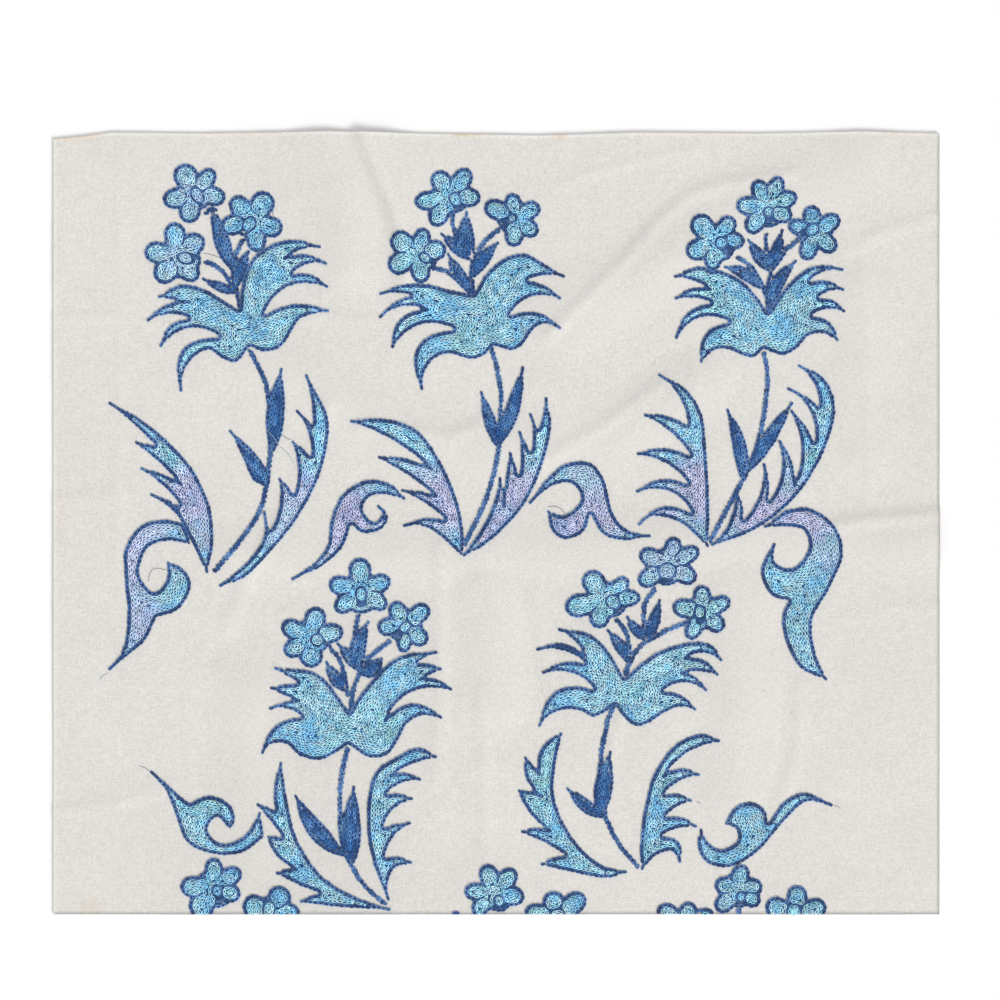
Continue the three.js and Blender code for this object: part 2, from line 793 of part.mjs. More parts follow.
function flowerPrism({ x, y, ring, petals }, grow) {
  const middle = onSheet([x, y]);
  const centreRadius = FLOWER_CENTRE * SQUARE;
  const [right, down, ringSquares] = ring;
  const ringRadius = ringSquares * SQUARE;
  const rounds = [
    ovalPrism(middle, centreRadius, centreRadius, 0, grow),
    ovalPrism(onSheet([x + right, y + down]), ringRadius, ringRadius, 0, grow),
  ];
  const ovals = petals.map(([degrees, tip, width]) => {
    const heading = THREE.MathUtils.degToRad(degrees);
    const out = new THREE.Vector2((tip * SQUARE * (1 + PETAL_ROOT)) / 2, 0);
    const spot = out.rotateAround(new THREE.Vector2(), heading).add(middle);
    const half = (tip * SQUARE * (1 - PETAL_ROOT)) / 2;
    return ovalPrism(spot, half, (width * SQUARE) / 2, heading, grow);
  });
  return joined([...rounds, ...ovals]);
}

// A single row of stitches along a smooth line.
function linePrism(places, grow) {
  const middle = thinned(smoothRun(places));
  const half = STEM_WIDTH / 2 + grow;
  const sides = [1, -1].map((side) =>
    middle.map((point, i) => {
      const before = middle[Math.max(0, i - 1)];
      const after = middle[Math.min(middle.length - 1, i + 1)];
      const along = after.clone().sub(before).normalize();
      return point.clone().add(new THREE.Vector2(-along.y, along.x).multiplyScalar(side * half));
    }),
  );
  return prism([...sides[1], ...sides[0].reverse()], 0);
}

// A narrow blade, broadest a little below its middle.
function bladePrism([pointX, pointY, footX, footY, width, bow, lean = BLADE_LEAN], grow) {
  const spine = bowedRun([footX, footY], [pointX, pointY], bow);
  const half = (width * SQUARE) / 2;
  const sides = [1, -1].map((side) =>
    spine.map((place, i) => {
      const along = spine[Math.min(spine.length - 1, i + 1)].clone().sub(spine[Math.max(0, i - 1)]);
      const share = i / (spine.length - 1);
      const swell = Math.sin(Math.PI * share ** lean) * half + BLADE_TIP;
      const off = new THREE.Vector2(-along.y, along.x).normalize().multiplyScalar(side * swell);
      return place.clone().add(off);
    }),
  );
  return prism(tidyLoop([...sides[1], ...sides[0].reverse()]), grow);
}

function twigPrism({ lines, blades }, grow) {
  return joined([
    ...lines.map((places) => linePrism(places, grow)),
    ...blades.map((row) => bladePrism(row, grow)),
  ]);
}

// --- The sheet and its embroidery ------------------------------------------------------------

const isLavender = (name) => /spray[123]_(leaf|scroll)/.test(name);

// Where two forms meet, the one that comes first here keeps its edge.
const FORMS = [
  ...FLOWERS.map((row) => ({
    name: row.name,
    finish: AQUA_THREAD,
    cutter: (grow) => flowerPrism(row, grow),
  })),
  ...[
    ...CUPS.map((row) => [row.name, tidyLoop(cupOutline(row))]),
    ...LEAVES.map((row) => [row.name, tidyLoop(leafOutline(row))]),
    ...SCROLLS.map((row) => [row.name, tidyLoop(scrollOutline(row))]),
  ].map(([name, loop]) => ({
    name,
    finish: isLavender(name) ? LAVENDER_THREAD : AQUA_THREAD,
    cutter: (grow) => prism(loop, grow),
  })),
  ...[...STEMS, ...TWIGS].map((row) => ({
    name: row.name,
    finish: NAVY_THREAD,
    cutter: (grow) => twigPrism(row, grow),
  })),
];

function boxesMeet(a, b) {
  const apart = (axis) => a.min[axis] > b.max[axis] + GAP || b.min[axis] > a.max[axis] + GAP;
  return !apart(0) && !apart(1);
}

// The largest body: a cut can leave slivers beside it.
function mainBody(solid) {
  return solid.decompose().reduce((best, body) => (body.volume() > best.volume() ? body : best));
}

function meshOf(name, solid, finish) {
  const { numProp, vertProperties, triVerts } = solid.getMesh();
  const places = new Float32Array((vertProperties.length / numProp) * 3);
  for (let i = 0; i < places.length / 3; i += 1) {
    places.set(vertProperties.subarray(i * numProp, i * numProp + 3), i * 3);
  }
  const geometry = new THREE.BufferGeometry();
  geometry.setAttribute("position", new THREE.BufferAttribute(places, 3));
  geometry.setIndex(new THREE.BufferAttribute(triVerts, 1));
  geometry.computeVertexNormals();
  const mesh = new THREE.Mesh(geometry, new THREE.MeshStandardMaterial(finish));
  mesh.name = name;
  return mesh;
}

const suzani = new THREE.Group();
suzani.add(meshOf("cloth", foldedSheet(0, CLOTH_THICK), COTTON));

const aboveCloth = CLOTH_THICK + GAP;
const threadLayer = foldedSheet(0, aboveCloth + THREAD_THICK).subtract(
  foldedSheet(-CUTTER_HEIGHT, CUTTER_HEIGHT + aboveCloth),
);
const placed = [];
for (const { name, finish, cutter } of FORMS) {
  const own = cutter(0);
  let form = own;
  for (const earlier of placed) {
    if (boxesMeet(own.boundingBox(), earlier.box)) form = form.subtract(earlier.cutter(GAP));
  }
  placed.push({ box: own.boundingBox(), cutter });
  const worked = mainBody(threadLayer.intersect(form)).simplify(TRUE_TO);
  suzani.add(meshOf(name, worked, finish));
}

export default suzani;
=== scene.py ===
import json
import math

import bpy
import numpy as np
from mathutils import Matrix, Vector


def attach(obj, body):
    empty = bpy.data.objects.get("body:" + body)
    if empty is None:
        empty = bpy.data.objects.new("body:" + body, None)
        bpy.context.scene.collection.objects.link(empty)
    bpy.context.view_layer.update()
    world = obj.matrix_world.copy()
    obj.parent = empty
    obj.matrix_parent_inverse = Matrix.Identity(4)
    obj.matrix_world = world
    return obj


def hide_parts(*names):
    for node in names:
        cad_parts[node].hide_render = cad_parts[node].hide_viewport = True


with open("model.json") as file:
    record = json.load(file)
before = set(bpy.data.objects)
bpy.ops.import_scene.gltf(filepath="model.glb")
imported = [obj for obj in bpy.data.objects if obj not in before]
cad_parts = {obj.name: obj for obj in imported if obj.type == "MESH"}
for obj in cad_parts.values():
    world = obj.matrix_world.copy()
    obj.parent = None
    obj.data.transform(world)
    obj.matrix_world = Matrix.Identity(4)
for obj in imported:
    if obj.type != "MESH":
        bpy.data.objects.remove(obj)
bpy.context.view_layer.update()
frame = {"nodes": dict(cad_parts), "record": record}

# A length of off-white cotton with flower sprays in chain stitch. Each motif's rows of stitches are worked
# inside the outline of its own solid: navy along the edge, then fill rows that follow it inwards, then short
# rows along what is left. Sizes are in millimetres, places on the chart in its squares, meshes in metres.
MM = 0.001
SQUARE = 0.6  # the chart's square
CHART_MIDDLE = (496.5, 523)

# The cloth.
WIDTH = 532
LENGTH = 470
THICK = 1.2
SHEET_STEP = 2.45  # of its mesh
TOP_FADE = 24  # how far below the top edge its unevenness fades out
FOLD_SLACK = 0.3  # how much thicker the sheet is where it lifts
FOLD_SHARE = 0.72  # of a fold's height, before its waves
REST_LIFT = 0.35  # of the cloth between its folds, before its waves
STAIN_SHARE = 0.8  # of a stain's strength, before its waves
SPOT_EDGE = 1.3  # where a stain or a shade ends, in shares of its reach

# Waves: (height or share, size of the lumps, seed).
FOLD_WAVES = [(0.35, 52, 6)]
CLOTH_WAVES = [(0.22, 46, 3), (0.13, 19, 4), (0.07, 8, 5)]
STAIN_WAVES = [(0.4, 7, 21)]
TONE_WAVES = [(0.012, 60, 22), (0.012, 14, 23)]
PALETTE_WAVES = [(1, 13, 31), (0.6, 5, 32)]
SHEEN_WAVES = [(0.08, 9, 33)]
NOISE_CELLS = 256
NOISE_SHIFT = 64  # keeps the places positive

# Distance maps.
CELL = 0.35  # side of a square
MARGIN = 3  # room round the motif
FAR = 1e3  # where nothing is near
OFF_MAP = 1e4  # a place beyond any
LAST_CELL = 1.001  # keeps a place off the last square
TINY = 1e-9
SMALL = 1e-6  # keep lengths above nothing
WELD = 500  # corners in the same part in this of a millimetre are one
UPWARD = 0.5  # least share of a face's normal that points up
SEED_STEP = 0.2  # between points on the outline
DOT_STEP = 0.25  # between points on other lines

# Rows, and their half widths.
EDGE_ROW = 0.88  # from the outline to the middle of the navy row
FIRST_ROW = 2.12  # from a navy row to the first pale one
ROW = 1.9  # from row to row
LINK = 3.0  # a stitch's length
HALF_EDGE = 1.2
HALF_ROW = 0.98
HALF_RING = 0.64  # rows inside a flower are finer
LEAST_HALF = 0.9
YARN = 0.295  # radius
YARN_SHARE = 0.36  # the most of a row's half width that the yarn's radius takes
YARN_ROUND = [(0.0, 1.0), (1.0, 0.1), (0.0, -0.9), (-1.0, 0.1)]  # its corners: (across, up)
EASE = 3  # passes that take the squares' steps out of a row

# How a motif is worked. A notch narrower than twice `notch` is sewn shut. Where the depth stays under `slim`,
# one row takes the whole breadth, up to `broadest` to each side and `spare` past the outline.
PALE_WORK = {"notch": 0.8, "slim": 1.45, "broadest": 1.5, "spare": 0.45}
DARK_WORK = {"notch": 0.4, "slim": 1.8, "broadest": HALF_EDGE, "spare": 0.3}

# Where the rows run.
RUN_ON = 0.5  # how far the outline's rows run on into a thin part
THIN_FROM = 0.3  # how far into it the one row there starts
SEAM_DEPTH = 0.4  # of the part of a notch that takes a row
FINE_DEPTH = 0.6  # where the rows inside a flower stop
FILL_FROM = 0.8  # the fill may start at this share of the navy row's depth
SHORT_DEPTH = 0.9  # where the short rows stop
SHORT_ROOM = 0.85  # what a short row leaves to the rows beside it
LEAST_RUN = 2.0  # the shortest stretches and rows
LEAST_EDGE = 4
LEAST_FILL = 6
LEAST_FINE = 1.5
LEAST_CUT = 0.5
THIN_RIDGES = {"widest": 1.1, "least": 0.7, "stop": 0.2}
FILL_RIDGES = {"widest": 1.45, "least": 0.95, "stop": 0.6}
MOST_CLEAR = 9  # more room than this counts as this

# The cloth's lower edge cuts some motifs off.
CUT_EDGES = 0.1 - LENGTH / 2  # edges below this are its own
CUT_MAP = 0.2 - LENGTH / 2  # below this the map repeats what is just above
CUT_ROWS = 0.3 - LENGTH / 2  # rows end here

# Ridges, traced step by step.
MOST_RIDGES = 400
MOST_STEPS = 300
RIDGE_STEP = 0.35
RIDGE_PULL = 0.25  # back towards the crest
LEAST_RIDGE = 1.0
CLEAR_POINTS = 60  # points of a ridge that keep others away
TURN_BLUR = 4
FIELD_BLUR = 2

# Sharp tips, and the rows drawn on to them.
TIP_COSINE = -0.45  # of the turn at a tip
TIP_REACH = 5
TIP_AHEAD = 0.75  # least share of the way that lies straight ahead
TIP_SHARES = (0.3, 0.6, 0.88)

# Rows inside a flower.
RING_POINTS = 40
ARC_POINTS = 12
ARC_TURN = 0.5  # radians to each side of the stem's heading
ARC_STEP = 1.5
ARC_ROOM = 0.7  # of a row, between an arc and the navy row
SLIT_TURN = 96  # petals further apart than this many degrees have no slit
SLIT_FROM = 0.36  # share of the way to the petals' tips
SLIT_TO = 1.2
SLIT_STEP = 0.3
SLIT_CLEAR = 1.2  # of the ring

# Seams along notches sewn shut.
LEAST_PATCH = 8  # squares
LEAST_SEAM = 3
SEAM_STEP = 0.8
SEAM_EASE = 2

PAINT = "thread"  # the colours' name on the meshes

# The stitches' unevenness.
FIRST_SEED = 100
LINK_SPREAD = (0.94, 1.04)
START_SPREAD = 0.12  # share of a stitch
WIDTH_SPREAD = (0.86, 1.08)
SIDE_SPREAD = 0.08
RISE_SPREAD = 0.08
SHADE_SPREAD = (0.78, 1.25)
LAVENDER_SPREAD = 0.12
ROW_DRIFT = 0.35  # of a row's place in its palette
STITCH_DRIFT = 0.3
PALETTE_SPAN = 2.4  # the drift that takes in the whole palette
BACKWARD = 0.5  # share of the fill rows sewn the other way
SLOPE_STEP = 0.3  # to each side of a place, for the row's heading there
EARLY, LATE = 0.3, 0.2  # how far a stitch may reach past its row's ends
RISE, RISE_BY_WIDTH = 0.55, 0.45  # shares of a stitch's height, the same in all and growing with its width
LAVENDER_EDGE = 1.4  # where a lavender part ends, in shares of its reach

# Under the stitches: a bed and strips that stand for the thread beneath, painted dark with the shade between
# the loops.
STRIP_STEP = 1.2
STRIP_SHARE = 0.72  # of the row's half width
STRIP_LIFT = 0.26
BED_STEP = 5  # squares
BED_FROM = 0.75  # depth where it starts
BED_BLEND = 1.4  # depth where the navy ends, and over which the fill's colour comes in
BED_LIFT = 0.22

# Loose ends.
END_POINTS = 14
END_LIFT = 0.1
END_YARN = 0.15

# The top edge: (x, squares it falls short).
TOP_EDGE = [
    (53, 8), (82, 5), (112, 1), (210, 2), (330, 0), (420, 2),
    (540, 4), (640, 1), (760, 2), (860, 0), (940, 2),
]

# Folds: the line of the crest on the chart, the reach of each flank and the height.
FOLDS = [
    ([(372, 125), (404, 190), (424, 290)], 25, 3.4),
    ([(318, 120), (348, 200), (352, 262)], 26, 2.2),
    ([(866, 160), (746, 208), (652, 268), (566, 318)], 30, 2.4),
    ([(700, 384), (586, 446), (486, 452)], 27, 2.2),
    ([(258, 360), (392, 446), (486, 452)], 27, 2.2),
    ([(236, 556), (430, 550), (640, 544), (950, 540)], 26, 2.0),
    ([(488, 590), (494, 700)], 28, 1.8),
    ([(742, 590), (736, 790)], 32, 2.4),
    ([(246, 690), (254, 850)], 30, 1.6),
    ([(864, 300), (862, 450)], 30, 2.0),
]

# Creases over the folds, in the same columns.
CREASES = [
    ([(362, 136), (383, 185), (402, 238), (406, 275)], 7, 2.0),
    ([(560, 184), (622, 164), (700, 149)], 5, 0.4),
    ([(792, 174), (722, 184), (688, 196), (658, 222), (628, 257), (588, 297), (548, 337)], 7, 0.9),
    ([(665, 382), (615, 418), (565, 448), (535, 468)], 7, 0.7),
    ([(358, 428), (400, 431), (450, 437), (484, 424)], 7, 0.6),
    ([(328, 405), (308, 455), (278, 525), (248, 577), (228, 625)], 8, 0.7),
    ([(265, 311), (370, 321)], 4, 0.3),
    ([(850, 250), (882, 232), (945, 215)], 7, 0.6),
    ([(820, 530), (860, 521), (945, 513)], 7, 1.0),
    ([(440, 548), (440, 700), (436, 780)], 8, 0.7),
    ([(482, 690), (486, 890)], 7, 0.5),
    ([(533, 590), (552, 700)], 7, 0.5),
    ([(622, 712), (611, 750), (601, 795)], 5, 0.6),
    ([(800, 690), (796, 760), (770, 830)], 8, 0.6),
    ([(862, 252), (868, 380), (870, 498)], 5, 0.3),
    ([(695, 326), (694, 452)], 5, 0.25),
    ([(118, 150), (121, 300), (117, 560)], 5, 0.3),
    ([(56, 318), (110, 316)], 5, 0.3),
    ([(56, 500), (120, 496)], 6, 0.3),
    ([(56, 812), (110, 806), (170, 785)], 8, 0.4),
    ([(845, 618), (900, 610), (945, 604)], 6, 0.3),
]

# Flowers: (x, y, ring's shift right, its shift down, its half length, its half width, and each petal's
# heading in degrees and squares to its tip).
FLOWERS = {
    "spray1_flower_top": (195, 193, 2, 2, 9, 5.5, [(119, 32), (51, 30), (-10, 31), (254, 31), (195, 33)]),
    "spray1_flower_right": (252, 221, -3, 3, 8, 6, [(59, 33), (130, 31), (192, 32), (282, 32), (343, 32)]),
    "spray1_flower_left": (177, 255, 9, 3, 9, 5.5, [(96, 33), (34, 32), (173, 33), (235, 33), (307, 32)]),
    "spray2_flower_top": (449, 196, 6, 3, 7, 5.5, [(118, 28), (52, 34), (-4, 32), (242, 34), (193, 35)]),
    "spray2_flower_right": (515, 218, -3, 0, 5, 4, [(156, 33), (97, 25), (27, 28), (-37, 28), (267, 29)]),
    "spray2_flower_left": (417, 254, 8, 4, 6.5, 4.5, [(143, 31), (72, 27), (11, 30), (281, 30), (209, 32)]),
    "spray3_flower_top": (
        767, 206, 1, 6, 5, 5, [(114, 28), (65, 32), (19, 32), (-28, 28), (235, 33), (180, 31)],
    ),
    "spray3_flower_right": (
        815, 232, -2, -3, 6.5, 5.5, [(100, 27), (32, 29), (-43, 28), (250, 30), (164, 28)],
    ),
    "spray3_flower_left": (715, 241, 6, 2, 6, 6, [(131, 32), (52, 30), (0, 30), (264, 30), (207, 32)]),
    "spray4_flower_top": (361, 589, 0, 5, 7.5, 5.5, [(93, 31), (17, 31), (-37, 32), (222, 34), (171, 33)]),
    "spray4_flower_right": (405, 626, 0, 1, 7, 4.5, [(116, 27), (41, 31), (-39, 28), (267, 27), (183, 28)]),
    "spray4_flower_left": (310, 637, 7, 3, 6.5, 6, [(74, 31), (10, 34), (273, 31), (215, 31), (156, 31)]),
    "spray5_flower_top": (668, 565, -1, 6, 8, 9, [(156, 31), (75, 29), (27, 35), (-29, 32), (214, 35)]),
    "spray5_flower_right": (703, 612, -3, 0, 6.5, 5.5, [(93, 27), (25, 30), (-42, 27), (242, 31), (169, 31)]),
    "spray5_flower_left": (604, 599, 9, 3, 7.5, 6.5, [(121, 32), (40, 32), (2, 37), (257, 30), (195, 40)]),
    "edge_flower_1": (213, 887, 4, 4, 6, 5, [(88, 29), (31, 33), (-20, 29), (239, 35), (180, 33)]),
    "edge_flower_2": (271, 914, -2, -5, 8, 6, [(156, 30), (63, 30), (6, 29)]),
    "edge_flower_3": (495, 893, 4, 8, 6, 5, [(109, 30), (49, 31), (-10, 30), (177, 31), (224, 30)]),
    "edge_flower_4": (557, 918, 0, -2, 7, 8, [(168, 33), (102, 27), (40, 36)]),
    "edge_flower_5": (684, 928, 2, 0, 6, 8, [(140, 33), (75, 27), (28, 34)]),
    "edge_flower_6": (738, 890, 3, 7, 5, 4.5, [(80, 26), (10, 25), (-33, 26), (225, 30), (164, 24)]),
    "edge_flower_7": (796, 915, -2, -3, 8, 7, [(160, 32), (86, 30), (18, 32)]),
}

# Where the fill thread is lavender: (x, y, reach, share).
LAVENDER = [
    (192, 495, 34, 0.9), (200, 535, 20, 0.55),
    (300, 494, 26, 0.75), (286, 530, 26, 0.5),
    (448, 500, 34, 1.0), (425, 478, 20, 0.5),
    (515, 490, 30, 0.9), (490, 530, 26, 0.95),
    (703, 490, 36, 1.0), (660, 518, 28, 0.8),
    (760, 510, 40, 1.0), (776, 470, 22, 0.6),
    (130, 560, 44, 0.88), (136, 620, 30, 0.7), (150, 528, 24, 0.6),
    (340, 520, 44, 1.0), (372, 528, 24, 0.7), (330, 555, 20, 0.5),
    (606, 510, 34, 0.9), (570, 525, 26, 0.9), (590, 474, 24, 0.6),
    (800, 520, 40, 0.9), (836, 556, 22, 0.5),
    (182, 258, 26, 0.3), (672, 556, 30, 0.5), (192, 196, 24, 0.35),
]

# Loose ends of thread: (x, y, x, y) from end to end, share of the length that it bows, rise, colour.
GREY = (146, 148, 158)
PALE = (176, 198, 214)
THREAD_ENDS = [
    (139, 766, 151, 774, 0.1, 0.2, GREY), (148, 582, 166, 570, 0.35, 0.3, GREY),
    (279, 431, 291, 440, -0.1, 0.2, GREY), (266, 429, 279, 446, 0.05, 1.4, PALE),
    (279, 446, 294, 463, 0.06, 0.4, PALE), (283, 798, 291, 816, -0.15, 0.3, GREY),
    (203, 253, 224, 260, 0.05, 0.3, GREY), (697, 802, 701, 804, 0.1, 0.2, GREY),
    (834, 806, 841, 809, 0.1, 0.2, GREY), (548, 507, 566, 515, 0.2, 0.3, GREY),
    (257, 803, 263, 808, 0.1, 0.2, GREY), (99, 681, 108, 673, 0.1, 0.2, PALE),
    (273, 205, 281, 231, -0.12, 0.3, GREY),
]

# Shade over broad parts of the cloth: (x, y, reach, share).
SHADES = [(350, 680, 100, 0.035), (300, 880, 130, 0.045), (620, 660, 80, 0.025), (480, 890, 60, 0.02)]

# Stains on the cotton: (x, y, half width, half height, share).
STAINS = [
    (64, 136, 40, 5, 0.75), (470, 133, 24, 4, 0.8), (560, 134, 8, 6, 0.6), (90, 906, 14, 8, 0.3),
    (250, 133, 60, 2.5, 0.35), (700, 132, 70, 2.5, 0.3), (890, 133, 50, 2.5, 0.35), (60, 520, 6, 60, 0.15),
]

# Colours as they show in flat light, 0 to 255: the cotton's, its stains', each thread's shades, and the
# painted shade between the stitches, on the layers that stand for the thread beneath them.
COTTON = (221, 218, 213)
TAN = (206, 184, 148)
# The navy's palette is its thread's own shades, with its lightest ones as painted glints on the twisted
# strands.
NAVY = [(42, 80, 138), (50, 94, 154), (70, 114, 172), (108, 150, 204), (38, 72, 128), (60, 104, 162)]
ROYAL = [(38, 94, 160), (52, 114, 184), (104, 160, 214), (36, 96, 166), (66, 130, 192)]
AQUA = [(188, 242, 246), (148, 220, 242), (206, 246, 255), (164, 230, 255), (132, 210, 252), (186, 236, 255)]
LILAC = [(206, 226, 248), (204, 210, 242), (228, 226, 250), (212, 212, 246), (188, 204, 240)]
BED_SHADE_EDGE = (30, 62, 114)
BED_SHADE_FILL = (10, 72, 124)
BED_SHADE_LILAC = (66, 86, 142)
BED_SHADE_DARK = (12, 50, 104)

# One stitch: (share of its length, share of the row's half width, height). The stitch rises inside the loop
# before it, crosses over that loop's end, opens out and closes under the stitch that follows.
HALF_LOOP = [(-0.24, 0.12, 0.12), (-0.02, 0.42, 0.62), (0.32, 1.0, 0.5), (0.78, 0.94, 0.4)]
LOOP = [*HALF_LOOP, (1.04, 0.0, 0.38), *[(s, -w, z) for s, w, z in reversed(HALF_LOOP)]]


# --- The lie of the cloth ----------------------------------------------------------------------


def on_sheet(x, y):
    """Places on the chart, in millimetres from the cloth's middle."""
    x, y = np.asarray(x, float), np.asarray(y, float)
    return (x - CHART_MIDDLE[0]) * SQUARE, (CHART_MIDDLE[1] - y) * SQUARE


def smoothstep(t):
    t = np.clip(t, 0, 1)
    return t * t * (3 - 2 * t)


def mixed(a, b, share):
    return a * (1 - share) + b * share


def from_line(x, y, line):
    """How far each place is from a line of chart points."""
    px, py = on_sheet(*np.array(line, float).T)
    best = np.full(np.shape(x), np.inf)
    for ax, ay, bx, by in zip(px, py, px[1:], py[1:]):
        dx, dy = bx - ax, by - ay
        t = np.clip(((x - ax) * dx + (y - ay) * dy) / (dx * dx + dy * dy), 0, 1)
        best = np.minimum(best, np.hypot(x - ax - t * dx, y - ay - t * dy))
    return best


def noise(x, y, size, seed):
    """Smooth noise from -1 to 1 whose lumps are about that size."""
    n = NOISE_CELLS
    table = np.random.default_rng(seed).uniform(-1, 1, (n, n))
    u, v = np.asarray(x) / size + NOISE_SHIFT, np.asarray(y) / size + NOISE_SHIFT
    i, j = np.floor(u).astype(int), np.floor(v).astype(int)
    f, g = smoothstep(u - i), smoothstep(v - j)
    low = mixed(table[i % n, j % n], table[(i + 1) % n, j % n], f)
    high = mixed(table[i % n, (j + 1) % n], table[(i + 1) % n, (j + 1) % n], f)
    return mixed(low, high, g)


def waves(x, y, layers, start=0):
    for height, size, seed in layers:
        start = start + height * noise(x, y, size, seed)
    return start


def ground(x, y):
    """Height of the cloth's upper face."""
    lift = np.zeros(np.shape(x))
    for line, flank, height in FOLDS:
        lift = np.maximum(lift, height * smoothstep(1 - from_line(x, y, line) / flank))
    lift = lift * waves(x, y, FOLD_WAVES, FOLD_SHARE)
    for line, flank, height in CREASES:
        lift = lift + height * smoothstep(1 - from_line(x, y, line) / flank)
    return THICK + lift + np.maximum(waves(x, y, CLOTH_WAVES, REST_LIFT), 0)


# --- Distance maps and lines -------------------------------------------------------------------


class Map:
    """A grid of squares over one motif."""

    def __init__(self, low, high):
        self.xs = np.arange(low[0] - MARGIN, high[0] + MARGIN, CELL)
        self.ys = np.arange(low[1] - MARGIN, high[1] + MARGIN, CELL)
        self.x, self.y = np.meshgrid(self.xs, self.ys)

    def distance(self, seeds):
        """Distance from every square to the nearest seed, by jump flooding."""
        h, w = self.x.shape
        if not len(seeds):
            return np.full((h, w), FAR)
        near = np.full((h, w, 2), OFF_MAP)
        i = np.rint((seeds[:, 0] - self.xs[0]) / CELL).astype(int)
        j = np.rint((seeds[:, 1] - self.ys[0]) / CELL).astype(int)
        held = (i >= 0) & (i < w) & (j >= 0) & (j < h)
        near[j[held], i[held]] = seeds[held]
        far = np.hypot(near[..., 0] - self.x, near[..., 1] - self.y)
        step = 2 ** int(math.log2(max(h, w)))
        while step:
            for dj in (-step, 0, step):
                for di in (-step, 0, step):
                    to = slice(max(dj, 0), h + min(dj, 0)), slice(max(di, 0), w + min(di, 0))
                    of = slice(max(-dj, 0), h + min(-dj, 0)), slice(max(-di, 0), w + min(-di, 0))
                    if to[0].stop <= to[0].start or to[1].stop <= to[1].start:
                        continue
                    there = near[of]
                    now = np.hypot(there[..., 0] - self.x[to], there[..., 1] - self.y[to])
                    closer = now < far[to]
                    far[to][closer] = now[closer]
                    near[to][closer] = there[closer]
            step //= 2
        return far

    def inside(self, edges):
        """Which squares lie inside an outline."""
        held = np.zeros(self.x.shape, bool)
        a, b = edges[:, 0], edges[:, 1]
        for j, y in enumerate(self.ys):
            cut = (a[:, 1] <= y) != (b[:, 1] <= y)
            at = a[cut, 0] + (y - a[cut, 1]) / (b[cut, 1] - a[cut, 1]) * (b[cut, 0] - a[cut, 0])
            held[j] = np.searchsorted(np.sort(at), self.xs) % 2 == 1
        return held

    def at(self, field, points):
        """The field's values at points, between its squares."""
        u = np.clip((points[:, 0] - self.xs[0]) / CELL, 0, len(self.xs) - LAST_CELL)
        v = np.clip((points[:, 1] - self.ys[0]) / CELL, 0, len(self.ys) - LAST_CELL)
        i, j = u.astype(int), v.astype(int)
        low = mixed(field[j, i], field[j, i + 1], u - i)
        high = mixed(field[j + 1, i], field[j + 1, i + 1], u - i)
        return mixed(low, high, v - j)

    def contours(self, field, level):
        """Lines where the field has that level: [(points, closed)]."""
        f = field - level
        f[f == 0] = TINY
        up = f > 0
        ids = np.full((2, *f.shape), -1)
        across = up[:, 1:] != up[:, :-1]
        down = up[1:] != up[:-1]
        n = int(across.sum())
        ids[0][:, :-1][across] = np.arange(n)
        ids[1][:-1][down] = n + np.arange(int(down.sum()))
        j, i = np.nonzero(across)
        t = f[j, i] / (f[j, i] - f[j, i + 1])
        first = np.stack([self.xs[i] + t * CELL, self.ys[j]], 1)
        j, i = np.nonzero(down)
        t = f[j, i] / (f[j, i] - f[j + 1, i])
        points = np.concatenate([first, np.stack([self.xs[i], self.ys[j] + t * CELL], 1)])
        sides = np.stack([ids[0][:-1, :-1], ids[1][:-1, 1:], ids[0][1:, :-1], ids[1][:-1, :-1]], -1)
        sides = sides.reshape(-1, 4)
        count = (sides >= 0).sum(1)
        pairs = [np.sort(sides[count == 2], 1)[:, 2:]]
        pairs += [sides[count == 4][:, :2], sides[count == 4][:, 2:]]
        nexts = [[] for _ in points]
        for a, b in np.concatenate(pairs):
            nexts[a].append(b)
            nexts[b].append(a)
        seen, lines = np.zeros(len(points), bool), []
        for start in [k for k, near in enumerate(nexts) if len(near) == 1] + list(range(len(points))):
            if seen[start]:
                continue
            line, here = [], start
            while here is not None and not seen[here]:
                seen[here] = True
                line.append(here)
                here = next((k for k in nexts[here] if not seen[k]), None)
            if len(line) > 3:
                lines.append((points[line], line[0] in nexts[line[-1]]))
        return lines


def blurred(field, passes):
    for _ in range(passes):
        for axis in (0, 1):
            padded = np.pad(field, [(1, 1) if k == axis else (0, 0) for k in (0, 1)], mode="edge")
            n = field.shape[axis]
            field = sum(np.take(padded, range(k, k + n), axis) for k in range(3)) / 3
    return field


def joined(points, closed):
    """A line's points, with the first again at the end of a closed one."""
    return np.vstack([points, points[:1]]) if closed else points


def distances(line):
    """How far along a line each of its points is."""
    return np.concatenate([[0], np.cumsum(np.hypot(*np.diff(line, axis=0).T))])


def run_length(points, closed=False):
    return np.hypot(*np.diff(joined(points, closed), axis=0).T).sum()


def eased(points, closed, passes):
    """A line with the grid's small steps taken out."""
    for _ in range(passes):
        if closed:
            points = (np.roll(points, 1, 0) + 2 * points + np.roll(points, -1, 0)) / 4
        elif len(points) > 2:
            points = np.vstack([points[:1], (points[:-2] + 2 * points[1:-1] + points[2:]) / 4, points[-1:]])
    return points


def dotted(points, closed=False, spacing=DOT_STEP):
    """Points along a line, evenly spaced."""
    line = joined(points, closed)
    far = distances(line)
    at = np.linspace(0, far[-1], max(2, int(far[-1] / spacing) + 1))
    return np.stack([np.interp(at, far, line[:, k]) for k in (0, 1)], 1)


def dots(rows):
    """Points along every row, from its points and whether it is closed."""
    return np.concatenate([dotted(row[0], row[1]) for row in rows]) if rows else np.zeros((0, 2))


